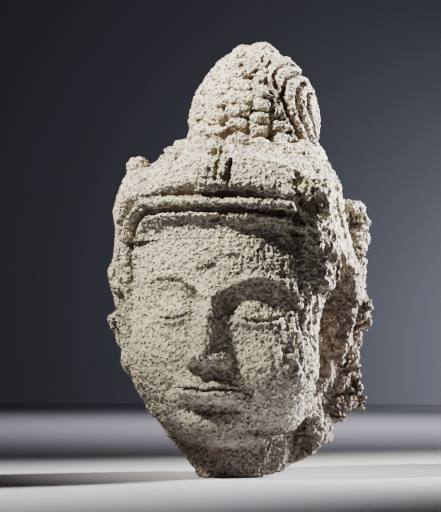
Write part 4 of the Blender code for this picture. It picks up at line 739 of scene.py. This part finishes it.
def volcanic_stone():
    """Open-pored andesite: cream and grey grains; dark specks in the pores, partly mineral and partly painted shade;
    reddish-brown soil with painted shade in the hollows; brown stain with painted shade behind the cheek and on the
    neck.
    """
    material = bpy.data.materials.new("volcanic_stone")
    material.use_nodes = True
    nodes, links = material.node_tree.nodes, material.node_tree.links
    shader = nodes["Principled BSDF"]
    place = nodes.new("ShaderNodeTexCoord")

    def noise_at(scale, detail=2.0, rough=0.55, warp=0.0, seed=0.0):
        shift = nodes.new("ShaderNodeMapping")
        shift.inputs["Location"].default_value = (seed, seed * 0.7, -seed)
        links.new(place.outputs["Object"], shift.inputs["Vector"])
        n = nodes.new("ShaderNodeTexNoise")
        n.inputs["Scale"].default_value = scale
        n.inputs["Detail"].default_value = detail
        n.inputs["Roughness"].default_value = rough
        n.inputs["Distortion"].default_value = warp
        links.new(shift.outputs["Vector"], n.inputs["Vector"])
        return n.outputs["Fac"]

    def cells_at(scale, feature="F1", randomness=1.0, seed=0.0):
        shift = nodes.new("ShaderNodeMapping")
        shift.inputs["Location"].default_value = (seed, -seed, seed * 0.6)
        links.new(place.outputs["Object"], shift.inputs["Vector"])
        v = nodes.new("ShaderNodeTexVoronoi")
        v.feature = feature
        v.inputs["Scale"].default_value = scale
        v.inputs["Randomness"].default_value = randomness
        links.new(shift.outputs["Vector"], v.inputs["Vector"])
        return v.outputs["Distance"]

    def span(value, low, high, out_low=0.0, out_high=1.0):
        m = nodes.new("ShaderNodeMapRange")
        m.interpolation_type = "SMOOTHSTEP"
        m.inputs["From Min"].default_value = low
        m.inputs["From Max"].default_value = high
        m.inputs["To Min"].default_value = out_low
        m.inputs["To Max"].default_value = out_high
        links.new(value, m.inputs["Value"])
        return m.outputs["Result"]

    def maths(kind, a, b):
        m = nodes.new("ShaderNodeMath")
        m.operation = kind
        for socket, v in zip(m.inputs, (a, b)):
            if isinstance(v, (int, float)):
                socket.default_value = v
            else:
                links.new(v, socket)
        return m.outputs["Value"]

    def mixed(factor, a, b, kind="MIX"):
        m = nodes.new("ShaderNodeMix")
        m.data_type = "RGBA"
        m.blend_type = kind
        m.clamp_factor = True
        if isinstance(factor, (int, float)):
            m.inputs[0].default_value = factor
        else:
            links.new(factor, m.inputs[0])
        for socket, v in ((m.inputs[6], a), (m.inputs[7], b)):
            if isinstance(v, tuple):
                socket.default_value = (*v, 1.0)
            else:
                links.new(v, socket)
        return m.outputs[2]

    def mask(name):
        a = nodes.new("ShaderNodeAttribute")
        a.attribute_name = name
        return a.outputs["Fac"]

    # both masks darken the colour, partly as painted shade
    hollow, stain_and_shade = mask("hollow"), mask("stain_and_shade")
    # grounds: greyer and warmer areas some centimetres wide
    cream, grey, warm = (0.47, 0.418, 0.31), (0.345, 0.315, 0.255), (0.39, 0.315, 0.225)
    colour = mixed(span(noise_at(26, 3, 0.6, 0.4, 3.0), 0.38, 0.66), cream, grey)
    colour = mixed(span(noise_at(15, 3, 0.6, 0.6, 9.0), 0.52, 0.72, 0.0, 0.55), colour, warm)
    # grains: pale crystals, dark specks and pores; the dark specks sit in the same cells as the pores of the bump
    # below, partly mineral specks and partly painted shade in the pores
    pale = span(noise_at(360, 1.5, 0.6, 0.0, 21.0), 0.50, 0.66, 0.0, 0.45)
    colour = mixed(pale, colour, (0.70, 0.66, 0.56))
    medium = span(noise_at(330, 1.5, 0.6, 0.0, 33.0), 0.54, 0.68, 0.0, 0.35)
    colour = mixed(medium, colour, (0.20, 0.175, 0.14))
    specks_and_pit_shade = span(cells_at(300, seed=5.0), 0.14, 0.30, 0.50, 0.0)
    thin = span(noise_at(140, 2, 0.5, 0.0, 41.0), 0.30, 0.56)
    # dark specks: partly mineral, partly painted shade in the pores
    colour = mixed(maths("MULTIPLY", specks_and_pit_shade, thin), colour, (0.105, 0.085, 0.068))
    # brown stain and painted shade over the deep side behind the cheek and the lower neck
    colour = mixed(maths("MULTIPLY", stain_and_shade, 0.80), colour, (0.16, 0.112, 0.088))
    # soil and painted shade in the hollows and pits: darker the more closed in a place is, with a rosy cast
    soil_and_shade = maths("MULTIPLY", span(hollow, 0.16, 0.66, 0.0, 0.8), span(noise_at(70, 3, 0.6, 0.0, 50.0), 0.25, 0.6, 0.55, 1.0))
    colour = mixed(soil_and_shade, colour, (0.185, 0.125, 0.09))
    links.new(colour, shader.inputs["Base Color"])
    # fine relief: grains with pores between them
    grains = maths("MULTIPLY", span(cells_at(300, seed=5.0), 0.05, 0.45), 1.2)
    grains = maths("ADD", grains, maths("MULTIPLY", noise_at(480, 2.0, 0.6, 0.0, 60.0), 0.9))
    pores = span(noise_at(310, 1.5, 0.5, 0.0, 70.0), 0.56, 0.70, 0.0, -1.3)
    height = maths("ADD", grains, pores)
    bump = nodes.new("ShaderNodeBump")
    bump.inputs["Strength"].default_value = 1.0
    bump.inputs["Distance"].default_value = 0.0028
    links.new(height, bump.inputs["Height"])
    links.new(bump.outputs["Normal"], shader.inputs["Normal"])
    links.new(span(noise_at(210, 2, 0.6, 0.0, 80.0), 0.3, 0.7, 0.80, 0.97), shader.inputs["Roughness"])
    shader.inputs["Metallic"].default_value = 0.0
    shader.inputs["Specular IOR Level"].default_value = 0.32
    return material


def plain(name, colour, roughness):
    """An even painted surface with a faint mottle."""
    material = bpy.data.materials.new(name)
    material.use_nodes = True
    nodes, links = material.node_tree.nodes, material.node_tree.links
    shader = nodes["Principled BSDF"]
    n = nodes.new("ShaderNodeTexNoise")
    n.inputs["Scale"].default_value = 3.0
    ramp = nodes.new("ShaderNodeMapRange")
    ramp.inputs["To Min"].default_value = roughness - 0.03
    ramp.inputs["To Max"].default_value = roughness + 0.03
    links.new(n.outputs["Fac"], ramp.inputs["Value"])
    links.new(ramp.outputs["Result"], shader.inputs["Roughness"])
    shader.inputs["Base Color"].default_value = (*colour, 1.0)
    return material


# ---------------------------------------------------------------- the stone
def caps(form):
    """Closes each ring of open edges with one face; rings that touch in a point are closed one by one."""
    ways, made = {}, []
    for e in form.edges:
        if e.is_boundary:
            loop = e.link_loops[0]
            ways.setdefault(loop.link_loop_next.vert, []).append(loop.vert)
    for first in list(ways):
        path, place = [first], {first: 0}
        while ways.get(path[-1]):
            step = ways[path[-1]].pop()
            if step in place:
                ring = path[place[step]:]
                if len(ring) > 2:
                    made.append(form.faces.new(ring))
                for v in path[place[step] + 1:]:
                    del place[v]
                del path[place[step] + 1:]
            else:
                place[step] = len(path)
                path.append(step)
    return made


def piece(name, points, normals, quads, masks, material):
    """One closed part of the stone: its share of the skin, with a hidden cap over each cut through the inside."""
    used, local = np.unique(quads, return_inverse=True)
    local = local.reshape(-1, 4)
    mesh = bpy.data.meshes.new(name)
    mesh.vertices.add(len(used))
    mesh.vertices.foreach_set("co", (points[used] / 1000.0).astype(np.float32).ravel())
    mesh.loops.add(len(local) * 4)
    mesh.loops.foreach_set("vertex_index", local.astype(np.int32).ravel())
    mesh.polygons.add(len(local))
    mesh.polygons.foreach_set("loop_start", np.arange(0, len(local) * 4, 4, dtype=np.int32))
    mesh.update(calc_edges=True)
    for key, values in masks.items():
        layer = mesh.attributes.new(key, "FLOAT", "POINT")
        layer.data.foreach_set("value", values[used].astype(np.float32))
    form = bmesh.new()
    form.from_mesh(mesh)
    bmesh.ops.triangulate(form, faces=form.faces[:], quad_method="SHORT_EDGE")
    outer = len(form.faces)
    made = caps(form)
    bmesh.ops.triangulate(form, faces=made, ngon_method="EAR_CLIP")
    open_edges = sum(e.is_boundary for e in form.edges)
    form.to_mesh(mesh)
    form.free()
    mesh.shade_smooth()
    # the shading runs on over the cuts as if the skin were whole
    corner = np.empty(len(mesh.loops), np.int32)
    mesh.loops.foreach_get("vertex_index", corner)
    shading = normals[used][corner]
    flat = np.empty(len(mesh.polygons) * 3, np.float32)
    mesh.polygons.foreach_get("normal", flat)
    starts = np.empty(len(mesh.polygons), np.int32)
    mesh.polygons.foreach_get("loop_start", starts)
    for f in range(outer, len(mesh.polygons)):
        shading[starts[f]:starts[f] + 3] = flat[3 * f:3 * f + 3]
    mesh.normals_split_custom_set(shading.astype(np.float32).tolist())
    mesh.materials.append(material)
    obj = bpy.data.objects.new(name, mesh)
    bpy.context.scene.collection.objects.link(obj)
    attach(obj, "root")
    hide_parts("stone_head")
    print(name, len(mesh.polygons), "triangles, of these in caps", len(mesh.polygons) - outer, "open edges", open_edges)
    return obj


points, quads = carved(GRID)
points, hollow, broken, stain_and_shade = weathered(points, outward(points, quads))
normals = outward(points, quads)
middle = points[quads].mean(1)
top = middle[:, 2] > 249
front = ~top & (middle[:, 1] < -14)
back = ~top & ~front
left_side = back & (middle[:, 0] > 7)
stone_material = volcanic_stone()
masks = {"hollow": hollow, "broken": broken, "stain_and_shade": stain_and_shade}
shares = (("stone_knot", top), ("stone_face_upper", front & (middle[:, 2] > 176)), ("stone_face", front & (middle[:, 2] <= 176)),
          ("stone_left", left_side), ("stone_right", back & ~left_side))
for name, share in shares:
    piece(name, points, normals, quads[share], masks, stone_material)

# ---------------------------------------------------------------- floor, light, camera
def sheet(name, size, location, rotation, material):
    mesh = bpy.data.meshes.new(name)
    s = size / 2
    mesh.from_pydata([(-s, -s, 0), (s, -s, 0), (s, s, 0), (-s, s, 0)], [], [(0, 1, 2, 3)])
    mesh.update()
    obj = bpy.data.objects.new(name, mesh)
    bpy.context.scene.collection.objects.link(obj)
    obj.location, obj.rotation_euler = location, rotation
    mesh.materials.append(material)
    return obj


sheet("floor", 14.0, (0, 0, -0.0002), (0, 0, 0), plain("pale_floor", (0.35, 0.345, 0.38), 0.85))
sheet("backdrop", 14.0, (0, 3.4, 6.9), (math.radians(90), 0, 0), plain("backdrop_grey", (0.30, 0.31, 0.36), 0.9))


def lamp(name, location, target, size, watts, colour, spread=180.0):
    light = bpy.data.lights.new(name, "AREA")
    light.shape, light.size, light.energy, light.color = "SQUARE", size, watts, colour
    light.spread = math.radians(spread)
    obj = bpy.data.objects.new(name, light)
    bpy.context.scene.collection.objects.link(obj)
    obj.location = location
    obj.rotation_euler = (Vector(target) - Vector(location)).to_track_quat("-Z", "Y").to_euler()
    return obj


lamp("key", (-1.09, -1.03, 1.80), (-0.01, 0, 0.315), 0.20, 3.4, (1.0, 0.95, 0.82), 15.0)
lamp("rim", (1.13, 0.97, 0.58), (0.03, 0, 0.20), 0.28, 9.0, (0.97, 0.975, 1.0), 24.0)
lamp("fill", (0.55, -2.0, 0.45), (0, 0, 0.16), 1.2, 0.6, (1.0, 0.82, 1.0))
lamp("backdrop_light", (0.35, 2.75, 0.22), (-0.4, 3.4, 0.02), 0.4, 3.0, (0.90, 0.92, 1.0), 110.0)
lamp("floor_light", (-0.1, 1.4, 1.4), (-0.1, 1.55, 0.0), 0.6, 9.0, (0.92, 0.94, 1.0), 90.0)
world = bpy.data.worlds.new("studio")
bpy.context.scene.world = world
world.use_nodes = True
world.node_tree.nodes["Background"].inputs["Color"].default_value = (0.66, 0.58, 0.74, 1.0)
world.node_tree.nodes["Background"].inputs["Strength"].default_value = 0.02

VIEW_DEG, DISTANCE, AIM, ASIDE = 15.0, 1.7, 0.1664, -0.0171
a = math.radians(VIEW_DEG)
right, towards = Vector((math.cos(a), math.sin(a), 0)), Vector((math.sin(a), -math.cos(a), 0))
camera = bpy.data.objects.new("camera", bpy.data.cameras.new("camera"))
bpy.context.scene.collection.objects.link(camera)
camera.data.lens = 157.0
camera.location = towards * DISTANCE + right * ASIDE + Vector((0, 0, 0.08))
aim = right * ASIDE + Vector((0, 0, AIM))
camera.rotation_euler = (aim - camera.location).to_track_quat("-Z", "Y").to_euler()
bpy.context.scene.camera = camera
